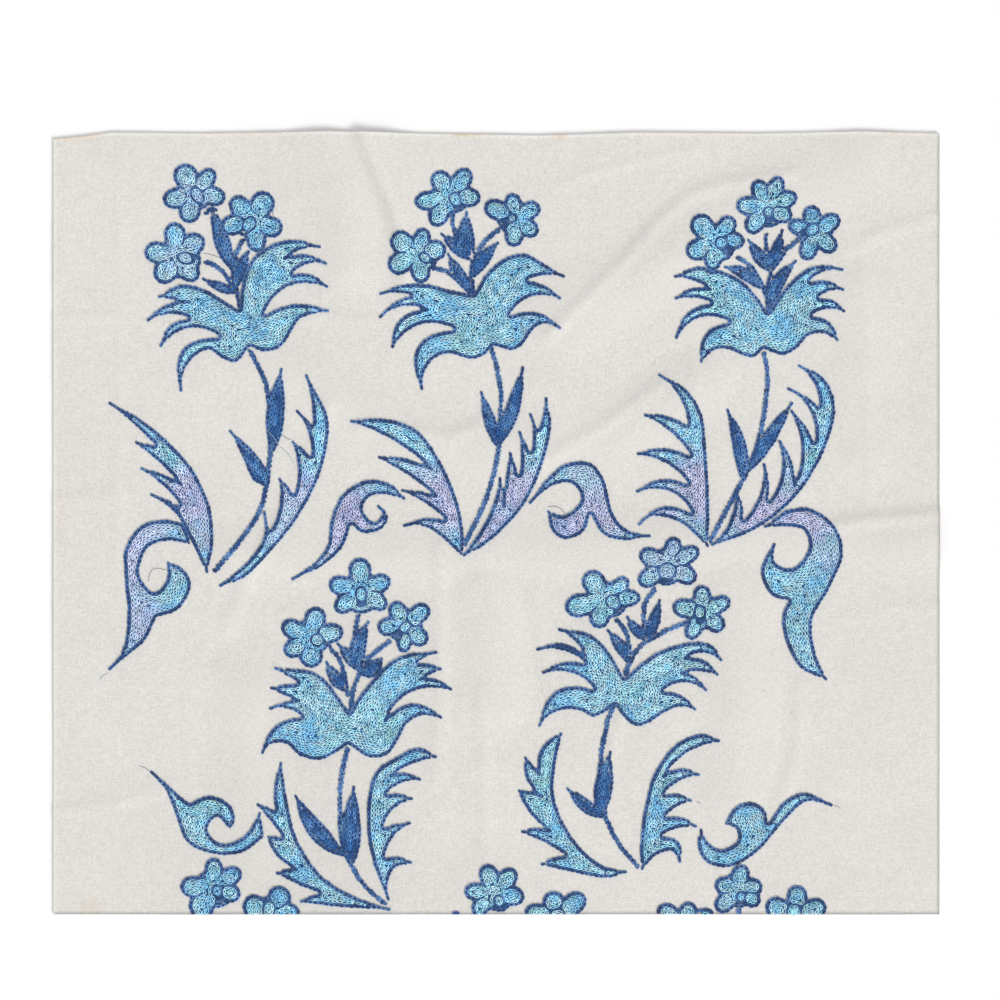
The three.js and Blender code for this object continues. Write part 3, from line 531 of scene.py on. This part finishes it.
def kept_runs(points, closed, keep, least):
    """The stretches of a line that are kept, as [(points, closed)]."""
    if keep.all():
        return [(points, closed)]
    if not keep.any():
        return []
    if closed:
        first = int(np.argmin(keep))
        points, keep = np.roll(points, -first, 0), np.roll(keep, -first)
    marks = np.flatnonzero(np.diff(np.concatenate([[0], keep.astype(int), [0]])))
    runs = [points[a:b] for a, b in zip(marks[::2], marks[1::2])]
    return [(run, False) for run in runs if len(run) > 2 and run_length(run) > least]


def sharp_tips(edges):
    """The corners where an outline comes to a point."""
    edges = np.round(edges, 3).tolist()
    ends = {tuple(a): b for a, b in edges}
    tips = []
    for a, b in edges:
        c = ends.get(tuple(b))
        if c is None:
            continue
        before, after = np.subtract(b, a), np.subtract(c, b)
        cosine = before @ after / max(np.hypot(*before) * np.hypot(*after), TINY)
        if cosine < TIP_COSINE and before[0] * after[1] - before[1] * after[0] > 0:
            tips.append(b)
    return np.array(tips).reshape(-1, 2)


def reaching(arm, start, tips):
    """A line's end drawn on to the sharp tip ahead of it."""
    end = arm[-1] if arm else start
    if len(arm) < 3 or not len(tips):
        return arm
    ahead = end - arm[-3]
    ahead = ahead / max(np.hypot(*ahead), TINY)
    to = tips - end
    far = np.hypot(*to.T)
    good = (far < TIP_REACH) & (to @ ahead > TIP_AHEAD * far)
    if not good.any():
        return arm
    tip = tips[good][np.argmin(far[good])]
    return arm + [end + (tip - end) * share for share in TIP_SHARES]


def ridge_lines(grid, field, held, clear, widest, least, stop, tips=()):
    """Lines along the field's ridges over the squares held. One starts where the room to other rows is over
    widest, and ends where that falls under least or the field under stop."""
    gy, gx = np.gradient(field)
    xx, xy, yy = (blurred(a, TURN_BLUR) for a in (gx * gx, gx * gy, gy * gy))
    turn = 0.5 * np.arctan2(2 * xy, xx - yy) + math.pi / 2
    sy, sx = np.gradient(blurred(field, FIELD_BLUR))
    clear = np.where(held, clear, 0)

    def arm_from(start, heading):
        here, arm = start, []
        for _ in range(MOST_STEPS):
            v = int(round((here[1] - grid.ys[0]) / CELL))
            u = int(round((here[0] - grid.xs[0]) / CELL))
            if not held[v, u] or field[v, u] < stop or (arm and clear[v, u] < least):
                break
            ahead = np.array([math.cos(turn[v, u]), math.sin(turn[v, u])])
            heading = (heading + (ahead if ahead @ heading >= 0 else -ahead)) / 2
            heading /= np.hypot(*heading)
            uphill = np.array([sx[v, u], sy[v, u]]) / CELL
            here = here + heading * RIDGE_STEP + RIDGE_PULL * (uphill - heading * (uphill @ heading))
            arm.append(here)
        return reaching(arm, start, tips)

    lines = []
    for _ in range(MOST_RIDGES):
        j, i = np.unravel_index(int(np.argmax(np.where(clear > widest, field, -1))), field.shape)
        if clear[j, i] <= widest:
            break
        start = np.array([grid.xs[i], grid.ys[j]])
        heading = np.array([math.cos(turn[j, i]), math.sin(turn[j, i])])
        line = np.array([*reversed(arm_from(start, -heading)), start, *arm_from(start, heading)])
        few = line[:: max(1, len(line) // CLEAR_POINTS)]
        clear = np.minimum(clear, np.min([np.hypot(grid.x - px, grid.y - py) for px, py in few], 0))
        if len(line) > 2 and run_length(line) > LEAST_RIDGE:
            lines.append(eased(line, False, EASE))
    return lines


def middles(grid, mask):
    """A line along the middle of each patch of a mask that is long enough."""
    left = {tuple(cell) for cell in np.argwhere(mask).tolist()}
    lines = []
    while left:
        patch, edge = [], [left.pop()]
        while edge:
            j, i = edge.pop()
            patch.append((grid.xs[i], grid.ys[j]))
            for near in [(j + dj, i + di) for dj in (-1, 0, 1) for di in (-1, 0, 1)]:
                if near in left:
                    left.remove(near)
                    edge.append(near)
        if len(patch) < LEAST_PATCH:
            continue
        patch = np.array(patch)
        spots = patch - patch.mean(0)
        along = spots @ np.linalg.svd(spots, full_matrices=False)[2][0]
        if np.ptp(along) < LEAST_SEAM:
            continue
        bins = np.round((along - along.min()) / SEAM_STEP).astype(int)
        line = np.array([np.mean(patch[bins == k], 0) for k in range(bins.max() + 1) if (bins == k).any()])
        lines.append(eased(line, False, SEAM_EASE))
    return lines


# --- Each motif's rows: (points, closed, half width at each point, kind) -----------------------


def outline(name):
    """The edges of a solid's upper face, seen from above: (start, end) pairs."""
    mesh = frame["nodes"][name].data
    place = np.empty(len(mesh.vertices) * 3, np.float32)
    mesh.vertices.foreach_get("co", place)
    place = place.reshape(-1, 3) / MM
    keys, same = np.unique(np.rint(place * WELD).astype(int), axis=0, return_inverse=True)
    mesh.calc_loop_triangles()
    faces = np.empty(len(mesh.loop_triangles) * 3, np.int32)
    mesh.loop_triangles.foreach_get("vertices", faces)
    faces = same.reshape(-1)[faces].reshape(-1, 3)
    spots = keys / WELD
    a, b, c = (spots[faces[:, k]] for k in range(3))
    normal = np.cross(b - a, c - a)
    up = normal[:, 2] > UPWARD * np.linalg.norm(normal, axis=1)
    edges = np.concatenate([faces[up][:, [k, (k + 1) % 3]] for k in range(3)])
    _, at, count = np.unique(np.sort(edges, 1), axis=0, return_index=True, return_counts=True)
    return spots[edges[at[count == 1]]][..., :2]


def even(points, closed, half, kind):
    """A row as wide all along."""
    return points, closed, np.full(len(points), half), kind


def motif_maps(name, work):
    """A motif's grid, its depth map, the parts of its notches that take a row, its sharp tips, and whether
    the cloth's lower edge cuts it off."""
    edges = outline(name)
    grid = Map(edges.reshape(-1, 2).min(0), edges.reshape(-1, 2).max(0))
    cut = (edges[..., 1] < CUT_EDGES).all(1)
    seeds = np.concatenate([dotted(e, spacing=SEED_STEP) for e in edges[~cut]])
    held = grid.inside(edges)
    if cut.any():
        last = int(np.argmax(grid.ys > CUT_MAP))
        held[:last] = held[last]
    beyond = np.where(held, 0, grid.distance(seeds))
    notch = work["notch"]
    rim = dots(grid.contours(beyond, notch))
    depth = blurred(np.where(beyond < notch, grid.distance(rim) - notch, -beyond), 1)
    return grid, depth, (depth > SEAM_DEPTH) & ~held, sharp_tips(edges), cut.any()


def flower_lines(name, grid, depth):
    """The navy rows inside a flower: a ring, arcs beyond it, and a slit between neighbouring petals."""
    x, y, right, down, long, wide, petals = FLOWERS[name]
    middle = np.array(on_sheet(x, y))
    whole = 2 * math.pi
    headings = sorted((math.radians(h) % whole, tip * SQUARE) for h, tip in petals)
    after = headings[1:] + [(headings[0][0] + whole, headings[0][1])]
    gaps = [(b - a, (a + b) / 2, min(tip_a, tip_b)) for (a, tip_a), (b, tip_b) in zip(headings, after)]
    stem_side = max(gaps)[1]
    axis = np.array([math.cos(stem_side), math.sin(stem_side)])
    side = np.array([-axis[1], axis[0]])
    centre = np.array(on_sheet(x + right, y + down))
    turn = np.linspace(0, whole, RING_POINTS, endpoint=False)[:, None]
    ring = centre + SQUARE * (long * np.cos(turn) * axis + wide * np.sin(turn) * side)
    lines = [(ring, True)]
    facing = np.linspace(-ARC_TURN, ARC_TURN, ARC_POINTS)[:, None]
    for k in (1, 2):
        along, across = SQUARE * long + ARC_STEP * k, SQUARE * wide + ARC_STEP * k
        arc = centre + along * np.cos(facing) * axis + across * np.sin(facing) * side
        lines += kept_runs(arc, False, grid.at(depth, arc) > EDGE_ROW + ARC_ROOM * ROW, LEAST_FINE)
    for room, heading, tip in gaps:
        if room > math.radians(SLIT_TURN):
            continue
        way = np.array([math.cos(heading), math.sin(heading)])
        run = middle + np.arange(SLIT_FROM * tip, SLIT_TO * tip, SLIT_STEP)[:, None] * way
        out = np.flatnonzero(grid.at(depth, run) < EDGE_ROW)
        run = run[: out[0]] if len(out) else run
        if len(run):
            from_ring = np.min(np.hypot(*(run[:, None] - ring).T), 0)
            run = run[(from_ring > SLIT_CLEAR) & (np.hypot(*(run - centre).T) > SQUARE * wide)]
        if len(run) > 3:
            lines.append((run, False))
    return lines


def navy_rows(name, grid, depth, shut, tips, work):
    """Rows along the outline, single ones along thin parts, and those inside a flower or over seams."""
    thick = depth >= work["slim"]
    from_thick = grid.distance(np.stack([grid.x[thick], grid.y[thick]], 1))
    own = work["slim"] - EDGE_ROW
    rows = []
    for points, closed in grid.contours(depth, EDGE_ROW):
        points = eased(points, closed, EASE)
        for run, ring in kept_runs(points, closed, grid.at(from_thick, points) < own + RUN_ON, LEAST_RUN):
            if run_length(run, ring) > LEAST_EDGE:
                rows.append(even(run, ring, HALF_EDGE, "edge"))
    clear = np.minimum(grid.distance(dots(rows)), MOST_CLEAR)
    thin = (depth > 0) & (from_thick > own + THIN_FROM)
    for line in ridge_lines(grid, depth, thin, clear, tips=tips, **THIN_RIDGES):
        half = np.clip(grid.at(depth, line) + work["spare"], LEAST_HALF, work["broadest"])
        rows.append((line, False, half, "edge"))
    if name in FLOWERS:
        for points, closed in flower_lines(name, grid, depth):
            inside = grid.at(depth, points) > FINE_DEPTH
            for run, ring in kept_runs(points, closed, inside, LEAST_FINE):
                rows.append(even(run, ring, HALF_RING, "edge"))
    else:
        rows += [even(seam, False, HALF_EDGE, "edge") for seam in middles(grid, shut)]
    return rows


def fill_rows(grid, depth, navy):
    """Rows that follow the navy ones inwards, then short ones along what is left."""
    broad = [row for row in navy if row[2][0] > HALF_RING]
    fine = [row for row in navy if row[2][0] <= HALF_RING]
    from_navy = grid.distance(dots(broad))
    if fine:
        from_navy = np.minimum(from_navy, grid.distance(dots(fine)) + HALF_EDGE - HALF_RING)
    inner = np.where(depth > EDGE_ROW * FILL_FROM, from_navy, 0)
    rows, level = [], FIRST_ROW
    while level < inner.max():
        for points, closed in grid.contours(inner, level):
            points = eased(points, closed, EASE)
            if run_length(points, closed) > LEAST_FILL:
                rows.append(even(points, closed, HALF_ROW, "fill"))
        level += ROW
    clear = grid.distance(dots(navy + rows))
    for line in ridge_lines(grid, inner, depth > SHORT_DEPTH, clear, **FILL_RIDGES):
        half = np.clip(grid.at(clear, line) - SHORT_ROOM, LEAST_HALF, HALF_ROW)
        rows.append((line, False, half, "fill"))
    return rows


def motif_rows(name, work):
    """A motif's grid, depth map and rows."""
    grid, depth, shut, tips, cut = motif_maps(name, work)
    rows = navy_rows(name, grid, depth, shut, tips, work)
    rows += fill_rows(grid, depth, rows)
    if cut:
        depth = np.where(grid.y > CUT_EDGES, depth, -1)
        rows = [
            even(run, ring, half.min(), kind)
            for points, closed, half, kind in rows
            for run, ring in kept_runs(points, closed, points[:, 1] > CUT_ROWS, LEAST_CUT)
        ]
    return grid, depth, rows


# --- Stitches: (vertices, faces, colours) ------------------------------------------------------


def linear(colour):
    """A colour in flat light, 0 to 255, as the shader takes it."""
    c = np.asarray(colour, float) / 255
    return np.where(c <= 0.04045, c / 12.92, ((c + 0.055) / 1.055) ** 2.4)


def lavender_share(x, y):
    share = np.zeros(np.shape(x))
    for cx, cy, reach, most in LAVENDER:
        mx, my = on_sheet(cx, cy)
        away = np.hypot(x - mx, y - my) / (reach * SQUARE)
        share = np.maximum(share, most * smoothstep(LAVENDER_EDGE - away))
    return share


def picked(palette, x, y, rng):
    """Colours for a row's stitches: the palette drifts slowly over the cloth, and each stitch a little."""
    colours = linear(palette)
    drift = waves(x, y, PALETTE_WAVES)
    drift = drift + rng.uniform(-ROW_DRIFT, ROW_DRIFT) + rng.uniform(-STITCH_DRIFT, STITCH_DRIFT, len(x))
    at = np.clip((drift / PALETTE_SPAN + 0.5) * (len(colours) - 1), 0, len(colours) - LAST_CELL)
    low = at.astype(int)
    shades = mixed(colours[low], colours[low + 1], (at - low)[:, None])
    return shades * rng.uniform(*SHADE_SPREAD, (len(x), 1)) * waves(x, y, SHEEN_WAVES, 1)[:, None]


def yarns(paths, radius):
    """Tubes with four sides round paths of the same number of points: (vertices, faces)."""
    along = np.gradient(paths, axis=1)
    along /= np.maximum(np.linalg.norm(along, axis=-1, keepdims=True), TINY)
    side = np.cross(along, (0, 0, 1.0))
    side /= np.maximum(np.linalg.norm(side, axis=-1, keepdims=True), TINY)
    top = np.cross(side, along)
    ringed = np.stack([paths + radius * (a * side + b * top) for a, b in YARN_ROUND], 2)
    n, m = paths.shape[:2]
    k = np.arange(m - 1)[:, None] * 4 + np.arange(4)
    step = np.arange(m - 1)[:, None] * 4 + (np.arange(4) + 1) % 4
    quads = np.stack([k, step, step + 4, k + 4], -1).reshape(-1, 4)
    return ringed.reshape(-1, 3), (quads[None] + (np.arange(n) * m * 4)[:, None, None]).reshape(-1, 4)


def stitched(points, closed, half, kind, dark, rng):
    """One row of chain stitch."""
    line = joined(points, closed)
    halves = np.append(half, half[0]) if closed else half
    far = distances(line)
    total = far[-1]

    def along(at, values):
        return np.interp(at, far, values)

    n = max(1, round(total / (LINK * rng.uniform(*LINK_SPREAD))))
    pitch = total / n
    start = (np.arange(n) + rng.uniform(-START_SPREAD, START_SPREAD, n)) * pitch
    shape = np.array(LOOP)
    s = start[:, None] + shape[:, 0] * pitch
    s = s % total if closed else np.clip(s, -EARLY, total + LATE)
    if rng.random() < BACKWARD and kind == "fill":
        s = total - s
    x, y = along(s, line[:, 0]), along(s, line[:, 1])
    if closed:
        ahead, back = (s + SLOPE_STEP) % total, (s - SLOPE_STEP) % total
    else:
        ahead, back = np.minimum(s + SLOPE_STEP, total), np.maximum(s - SLOPE_STEP, 0)
    tx, ty = (along(ahead, line[:, k]) - along(back, line[:, k]) for k in (0, 1))
    size = np.maximum(np.hypot(tx, ty), SMALL)
    tx, ty = tx / size, ty / size
    own_half = along(np.clip(start + pitch / 2, 0, total), halves)[:, None]
    yarn = np.minimum(YARN, YARN_SHARE * own_half)
    off = shape[:, 1] * (own_half - yarn) * rng.uniform(*WIDTH_SPREAD, (n, 1))
    off = off + rng.normal(0, SIDE_SPREAD, (n, 1))
    px, py = x - ty * off, y + tx * off
    rise = shape[:, 2] * (RISE + RISE_BY_WIDTH * own_half / HALF_ROW)
    rise = rise + rng.uniform(-RISE_SPREAD, RISE_SPREAD, (n, 1))
    places, faces = yarns(np.stack([px, py, ground(px, py) + rise], -1), yarn[:, :, None])
    cx, cy = x.mean(1), y.mean(1)
    if kind == "edge":
        colours = picked(NAVY, cx, cy, rng)
    elif dark:
        colours = picked(ROYAL, cx, cy, rng)
    else:
        share = lavender_share(cx, cy) + rng.uniform(-LAVENDER_SPREAD, LAVENDER_SPREAD, n)
        share = np.clip(share, 0, 1)[:, None]
        colours = mixed(picked(AQUA, cx, cy, rng), picked(LILAC, cx, cy, rng), share)
    return places, faces, np.repeat(colours, len(shape) * 4, 0)


def thread_end(x0, y0, x1, y1, bow, rise, colour):
    """A loose end of thread on the cloth, between two places on the chart."""
    (ax, bx), (ay, by) = on_sheet((x0, x1), (y0, y1))
    share = np.linspace(0, 1, END_POINTS)
    swing = bow * np.sin(math.pi * share)
    x, y = ax + (bx - ax) * share - (by - ay) * swing, ay + (by - ay) * share + (bx - ax) * swing
    z = ground(x, y) + END_LIFT + rise * np.sin(math.pi * share)
    places, faces = yarns(np.stack([x, y, z], -1)[None], np.full((1, 1, 1), END_YARN))
    return places, faces, np.tile(linear(colour), (len(places), 1))


def shade_strip(points, closed, half):
    """A strip under a row's middle, painted dark navy as the shade that shows through its loops."""
    spots = dotted(points, closed, STRIP_STEP)
    along = np.gradient(spots, axis=0)
    along /= np.maximum(np.hypot(*along.T), SMALL)[:, None]
    across = np.stack([-along[:, 1], along[:, 0]], 1) * (STRIP_SHARE * np.mean(half))
    both = np.concatenate([spots + across, spots - across])
    n = len(spots)
    k = np.arange(n - 1)
    faces = np.stack([k, k + n, k + n + 1, k + 1], 1)
    z = ground(both[:, 0], both[:, 1]) + STRIP_LIFT
    return np.c_[both, z], faces, np.tile(linear(BED_SHADE_EDGE), (2 * n, 1))


def grid_quads(shape):
    """The squares between neighbours in a grid of places, and the places' numbers."""
    ids = np.arange(shape[0] * shape[1]).reshape(shape)
    return np.stack([ids[:-1, :-1], ids[:-1, 1:], ids[1:, 1:], ids[1:, :-1]], -1), ids


def shade_bed(grid, depth, dark):
    """A thin layer below the stitches, standing for the thread beneath them and painted dark with the shade
    that shows between them.
    """
    x, y, d = (field[::BED_STEP, ::BED_STEP] for field in (grid.x, grid.y, depth))
    held = d > BED_FROM
    full = held[:-1, :-1] & held[1:, :-1] & held[:-1, 1:] & held[1:, 1:]
    used, faces = np.unique(grid_quads(d.shape)[0][full], return_inverse=True)
    x, y, d = x.ravel()[used], y.ravel()[used], d.ravel()[used]
    inner = smoothstep((d - BED_BLEND) / BED_BLEND)[:, None]
    fill = mixed(linear(BED_SHADE_FILL), linear(BED_SHADE_LILAC), lavender_share(x, y)[:, None])
    colours = mixed(linear(BED_SHADE_EDGE), linear(BED_SHADE_DARK) if dark else fill, inner)
    return np.stack([x, y, ground(x, y) + BED_LIFT], -1), faces.reshape(-1, 4), colours


def mesh_object(name, parts, material):
    """One object from parts."""
    counts = np.cumsum([0] + [len(v) for v, _, _ in parts])
    vertices = np.concatenate([v for v, _, _ in parts]) * MM
    faces = np.concatenate([f + n for (_, f, _), n in zip(parts, counts)])
    colours = np.concatenate([c for _, _, c in parts])
    mesh = bpy.data.meshes.new(name)
    mesh.vertices.add(len(vertices))
    mesh.vertices.foreach_set("co", vertices.astype(np.float32).ravel())
    mesh.loops.add(faces.size)
    mesh.loops.foreach_set("vertex_index", faces.astype(np.int32).ravel())
    mesh.polygons.add(len(faces))
    mesh.polygons.foreach_set("loop_start", np.arange(0, faces.size, 4, dtype=np.int32))
    mesh.update(calc_edges=True)
    mesh.polygons.foreach_set("use_smooth", np.ones(len(faces), bool))
    paint = mesh.color_attributes.new(PAINT, "FLOAT_COLOR", "POINT")
    paint.data.foreach_set("color", np.c_[colours, np.ones(len(colours))].astype(np.float32).ravel())
    mesh.materials.append(material)
    made = bpy.data.objects.new(name, mesh)
    bpy.context.scene.collection.objects.link(made)
    return made


# --- Materials ---------------------------------------------------------------------------------


def set_inputs(tree, node, inputs):
    """Sets a node's inputs: another node's output is linked, anything else is the value."""
    for key, value in inputs.items():
        if isinstance(value, bpy.types.NodeSocket):
            tree.links.new(value, node.inputs[key])
        else:
            node.inputs[key].default_value = value


def new_node(tree, kind, inputs, **settings):
    """Adds a node and gives its outputs."""
    node = tree.nodes.new("ShaderNode" + kind)
    for key, value in settings.items():
        setattr(node, key, value)
    set_inputs(tree, node, inputs)
    return node.outputs


def new_material(name, look):
    """A material, its node tree and its shader."""
    material = bpy.data.materials.new(name)
    material.use_nodes = True
    tree = material.node_tree
    shader = tree.nodes["Principled BSDF"]
    set_inputs(tree, shader, look)
    return material, tree, shader


def math_node(tree, operation, a, b):
    return new_node(tree, "Math", {0: a, 1: b}, operation=operation)[0]


def painted(tree, shade):
    """The mesh's own colour, made lighter and darker."""
    own = new_node(tree, "VertexColor", {}, layer_name=PAINT)["Color"]
    inputs = {"Factor": 1, "A": own, "B": shade}
    return new_node(tree, "Mix", inputs, data_type="RGBA", blend_type="MULTIPLY")["Result"]


def thread_material(name, sheen):
    look = {"Roughness": 0.5, "Specular IOR Level": 0.35, "Sheen Weight": sheen}
    material, tree, shader = new_material(name, look)
    place = new_node(tree, "TexCoord", {})["Object"]
    fibre = new_node(tree, "TexNoise", {"Vector": place, "Scale": 2600, "Detail": 2})["Fac"]
    shade = new_node(tree, "MapRange", {"Value": fibre, "To Min": 0.72, "To Max": 1.28})["Result"]
    bump = new_node(tree, "Bump", {"Height": fibre, "Strength": 0.35, "Distance": 0.0002})["Normal"]
    set_inputs(tree, shader, {"Base Color": painted(tree, shade), "Normal": bump})
    return material


def cotton_material():
    """A plain weave, with a few dark flecks in it."""
    look = {"Roughness": 0.9, "Specular IOR Level": 0.2, "Sheen Weight": 0.15}
    material, tree, shader = new_material("cotton_ground", look)
    place = new_node(tree, "TexCoord", {})["Object"]

    def fibres(x, y, scale):
        vector = new_node(tree, "Mapping", {"Vector": place, "Scale": (x, y, 1)})["Vector"]
        return new_node(tree, "TexNoise", {"Vector": vector, "Scale": scale, "Detail": 1})["Fac"]

    both = math_node(tree, "ADD", fibres(1, 5, 360), fibres(4, 1, 390))
    weave = math_node(tree, "ADD", both, fibres(1, 1, 1500))
    spread = {"Value": weave, "From Min": 1.15, "From Max": 1.85, "To Min": 0.9, "To Max": 1.1}
    tint = painted(tree, new_node(tree, "MapRange", spread)["Result"])
    fleck = new_node(tree, "TexVoronoi", {"Vector": place, "Scale": 62, "Randomness": 1})
    near = {"Value": fleck["Distance"], "From Min": 0.012, "From Max": 0.03, "To Min": 0.55, "To Max": 0}
    rare = math_node(tree, "GREATER_THAN", fleck["Color"], 0.72)
    shown = math_node(tree, "MULTIPLY", new_node(tree, "MapRange", near)["Result"], rare)
    flecked = {"Factor": shown, "A": tint, "B": (0.12, 0.09, 0.06, 1)}
    colour = new_node(tree, "Mix", flecked, data_type="RGBA")["Result"]
    bump = new_node(tree, "Bump", {"Height": weave, "Strength": 0.4, "Distance": 0.00025})["Normal"]
    set_inputs(tree, shader, {"Base Color": colour, "Normal": bump})
    return material


# --- The cloth and the embroidery --------------------------------------------------------------


def cloth_sheet():
    columns, lines = round(WIDTH / SHEET_STEP), round(LENGTH / SHEET_STEP)
    across = np.linspace(-WIDTH / 2, WIDTH / 2, columns + 1)
    x, y = np.meshgrid(across, np.linspace(-LENGTH / 2, LENGTH / 2, lines + 1))
    chart_x, short = np.array(TOP_EDGE, float).T
    fall = np.interp(x / SQUARE + CHART_MIDDLE[0], chart_x, short) * SQUARE
    y = y - fall * smoothstep((y - (LENGTH / 2 - TOP_FADE)) / TOP_FADE)
    top = np.stack([x, y, ground(x, y)], -1).reshape(-1, 3)
    under = np.c_[top[:, :2], np.maximum(top[:, 2] - THICK - FOLD_SLACK, 0)]
    n = len(top)
    quads, ids = grid_quads(x.shape)
    quads = quads.reshape(-1, 4)
    rim = np.concatenate([ids[0], ids[1:, -1], ids[-1, -2::-1], ids[-2:0:-1, 0]])
    after = np.roll(rim, -1)
    walls = np.stack([rim, rim + n, after + n, after], -1)
    faces = np.concatenate([quads, quads[:, ::-1] + n, walls[:, ::-1]])
    x, y = top[:, 0], top[:, 1]
    stain = np.zeros(n)
    for cx, cy, wide, high, most in STAINS:
        mx, my = on_sheet(cx, cy)
        away = np.hypot((x - mx) / (wide * SQUARE), (y - my) / (high * SQUARE))
        stain = np.maximum(stain, most * smoothstep(SPOT_EDGE - away))
    stain *= np.clip(waves(x, y, STAIN_WAVES, STAIN_SHARE), 0, 1)
    tone_and_shade = waves(x, y, TONE_WAVES, 1)
    # Painted shade darkens broad parts of the cloth, over its own uneven tone.
    for cx, cy, reach, most in SHADES:
        mx, my = on_sheet(cx, cy)
        tone_and_shade -= most * smoothstep(SPOT_EDGE - np.hypot(x - mx, y - my) / (reach * SQUARE))
    colours = mixed(linear(COTTON), linear(TAN), stain[:, None]) * tone_and_shade[:, None]
    return np.concatenate([top, under]), faces, np.concatenate([colours, colours])


cotton = cotton_material()
threads = {
    "navy_thread": thread_material("navy_thread", sheen=0.1),
    "aqua_thread": thread_material("aqua_thread", sheen=0.15),
    "lavender_thread": thread_material("lavender_thread", sheen=0.15),
}
slots = {row["node"]: row["material_slot"] for row in frame["record"]["subparts"]}

cloth = mesh_object("cotton_sheet", [cloth_sheet()], cotton)
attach(cloth, "root")
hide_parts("cloth")

for number, name in enumerate(sorted(set(frame["nodes"]) - {"cloth"})):
    rng = np.random.default_rng(FIRST_SEED + number)
    dark = slots[name] == "navy_thread"
    grid, depth, rows = motif_rows(name, DARK_WORK if dark else PALE_WORK)
    # Under each motif's stitches go a bed and strips painted dark with the shade between the loops.
    parts = [shade_bed(grid, depth, dark)] + [stitched(*row, dark, rng) for row in rows]
    parts += [shade_strip(*row[:3]) for row in rows if row[3] == "edge"]
    piece = mesh_object(name + "_stitches", parts, threads[slots[name]])
    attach(piece, "root")
    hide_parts(name)
ends = mesh_object("thread_ends", [thread_end(*row) for row in THREAD_ENDS], threads["aqua_thread"])
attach(ends, "root")


# --- Floor, light and camera, in metres --------------------------------------------------------

PICTURE_MIDDLE = (500, 500)  # on the chart
PICTURE_SIDE = 1000
LENS = 85
SENSOR = 36
CLOTH_TOP = 0.0025  # the height the camera is set for
FLOOR_REACH = 4
FLOOR_DROP = 0.0002  # keeps it clear of the cloth's underside
SUN_FROM = (0.75, -1.0, 0.9)
SUN_SPREAD = 0.45
SUN_POWER = 2.1
SKY_POWER = 0.665

floor_mesh = bpy.data.meshes.new("floor")
corners = [(FLOOR_REACH * x, FLOOR_REACH * y, 0) for x, y in ((-1, -1), (1, -1), (1, 1), (-1, 1))]
floor_mesh.from_pydata(corners, [], [(0, 1, 2, 3)])
floor = bpy.data.objects.new("floor", floor_mesh)
bpy.context.scene.collection.objects.link(floor)
floor.location.z = -FLOOR_DROP
paper, _, _ = new_material("pale_floor", {"Base Color": (0.95, 0.95, 0.95, 1), "Roughness": 0.9})
floor_mesh.materials.append(paper)

world = bpy.data.worlds.new("studio")
bpy.context.scene.world = world
world.use_nodes = True
world.node_tree.nodes["Background"].inputs["Color"].default_value = (1, 1, 1, 1)
world.node_tree.nodes["Background"].inputs["Strength"].default_value = SKY_POWER
bpy.context.scene.view_settings.view_transform = "Standard"

sun_data = bpy.data.lights.new("window", "SUN")
sun_data.angle = SUN_SPREAD
sun_data.energy = SUN_POWER
sun = bpy.data.objects.new("window", sun_data)
bpy.context.scene.collection.objects.link(sun)
sun.rotation_euler = (-Vector(SUN_FROM)).to_track_quat("-Z", "Y").to_euler()

middle_x, middle_y = on_sheet(*PICTURE_MIDDLE)
camera_data = bpy.data.cameras.new("camera")
camera_data.sensor_width = SENSOR
camera_data.lens = LENS
camera = bpy.data.objects.new("camera", camera_data)
camera.location = (middle_x * MM, middle_y * MM, PICTURE_SIDE * SQUARE * MM * LENS / SENSOR + CLOTH_TOP)
bpy.context.scene.collection.objects.link(camera)
bpy.context.scene.camera = camera
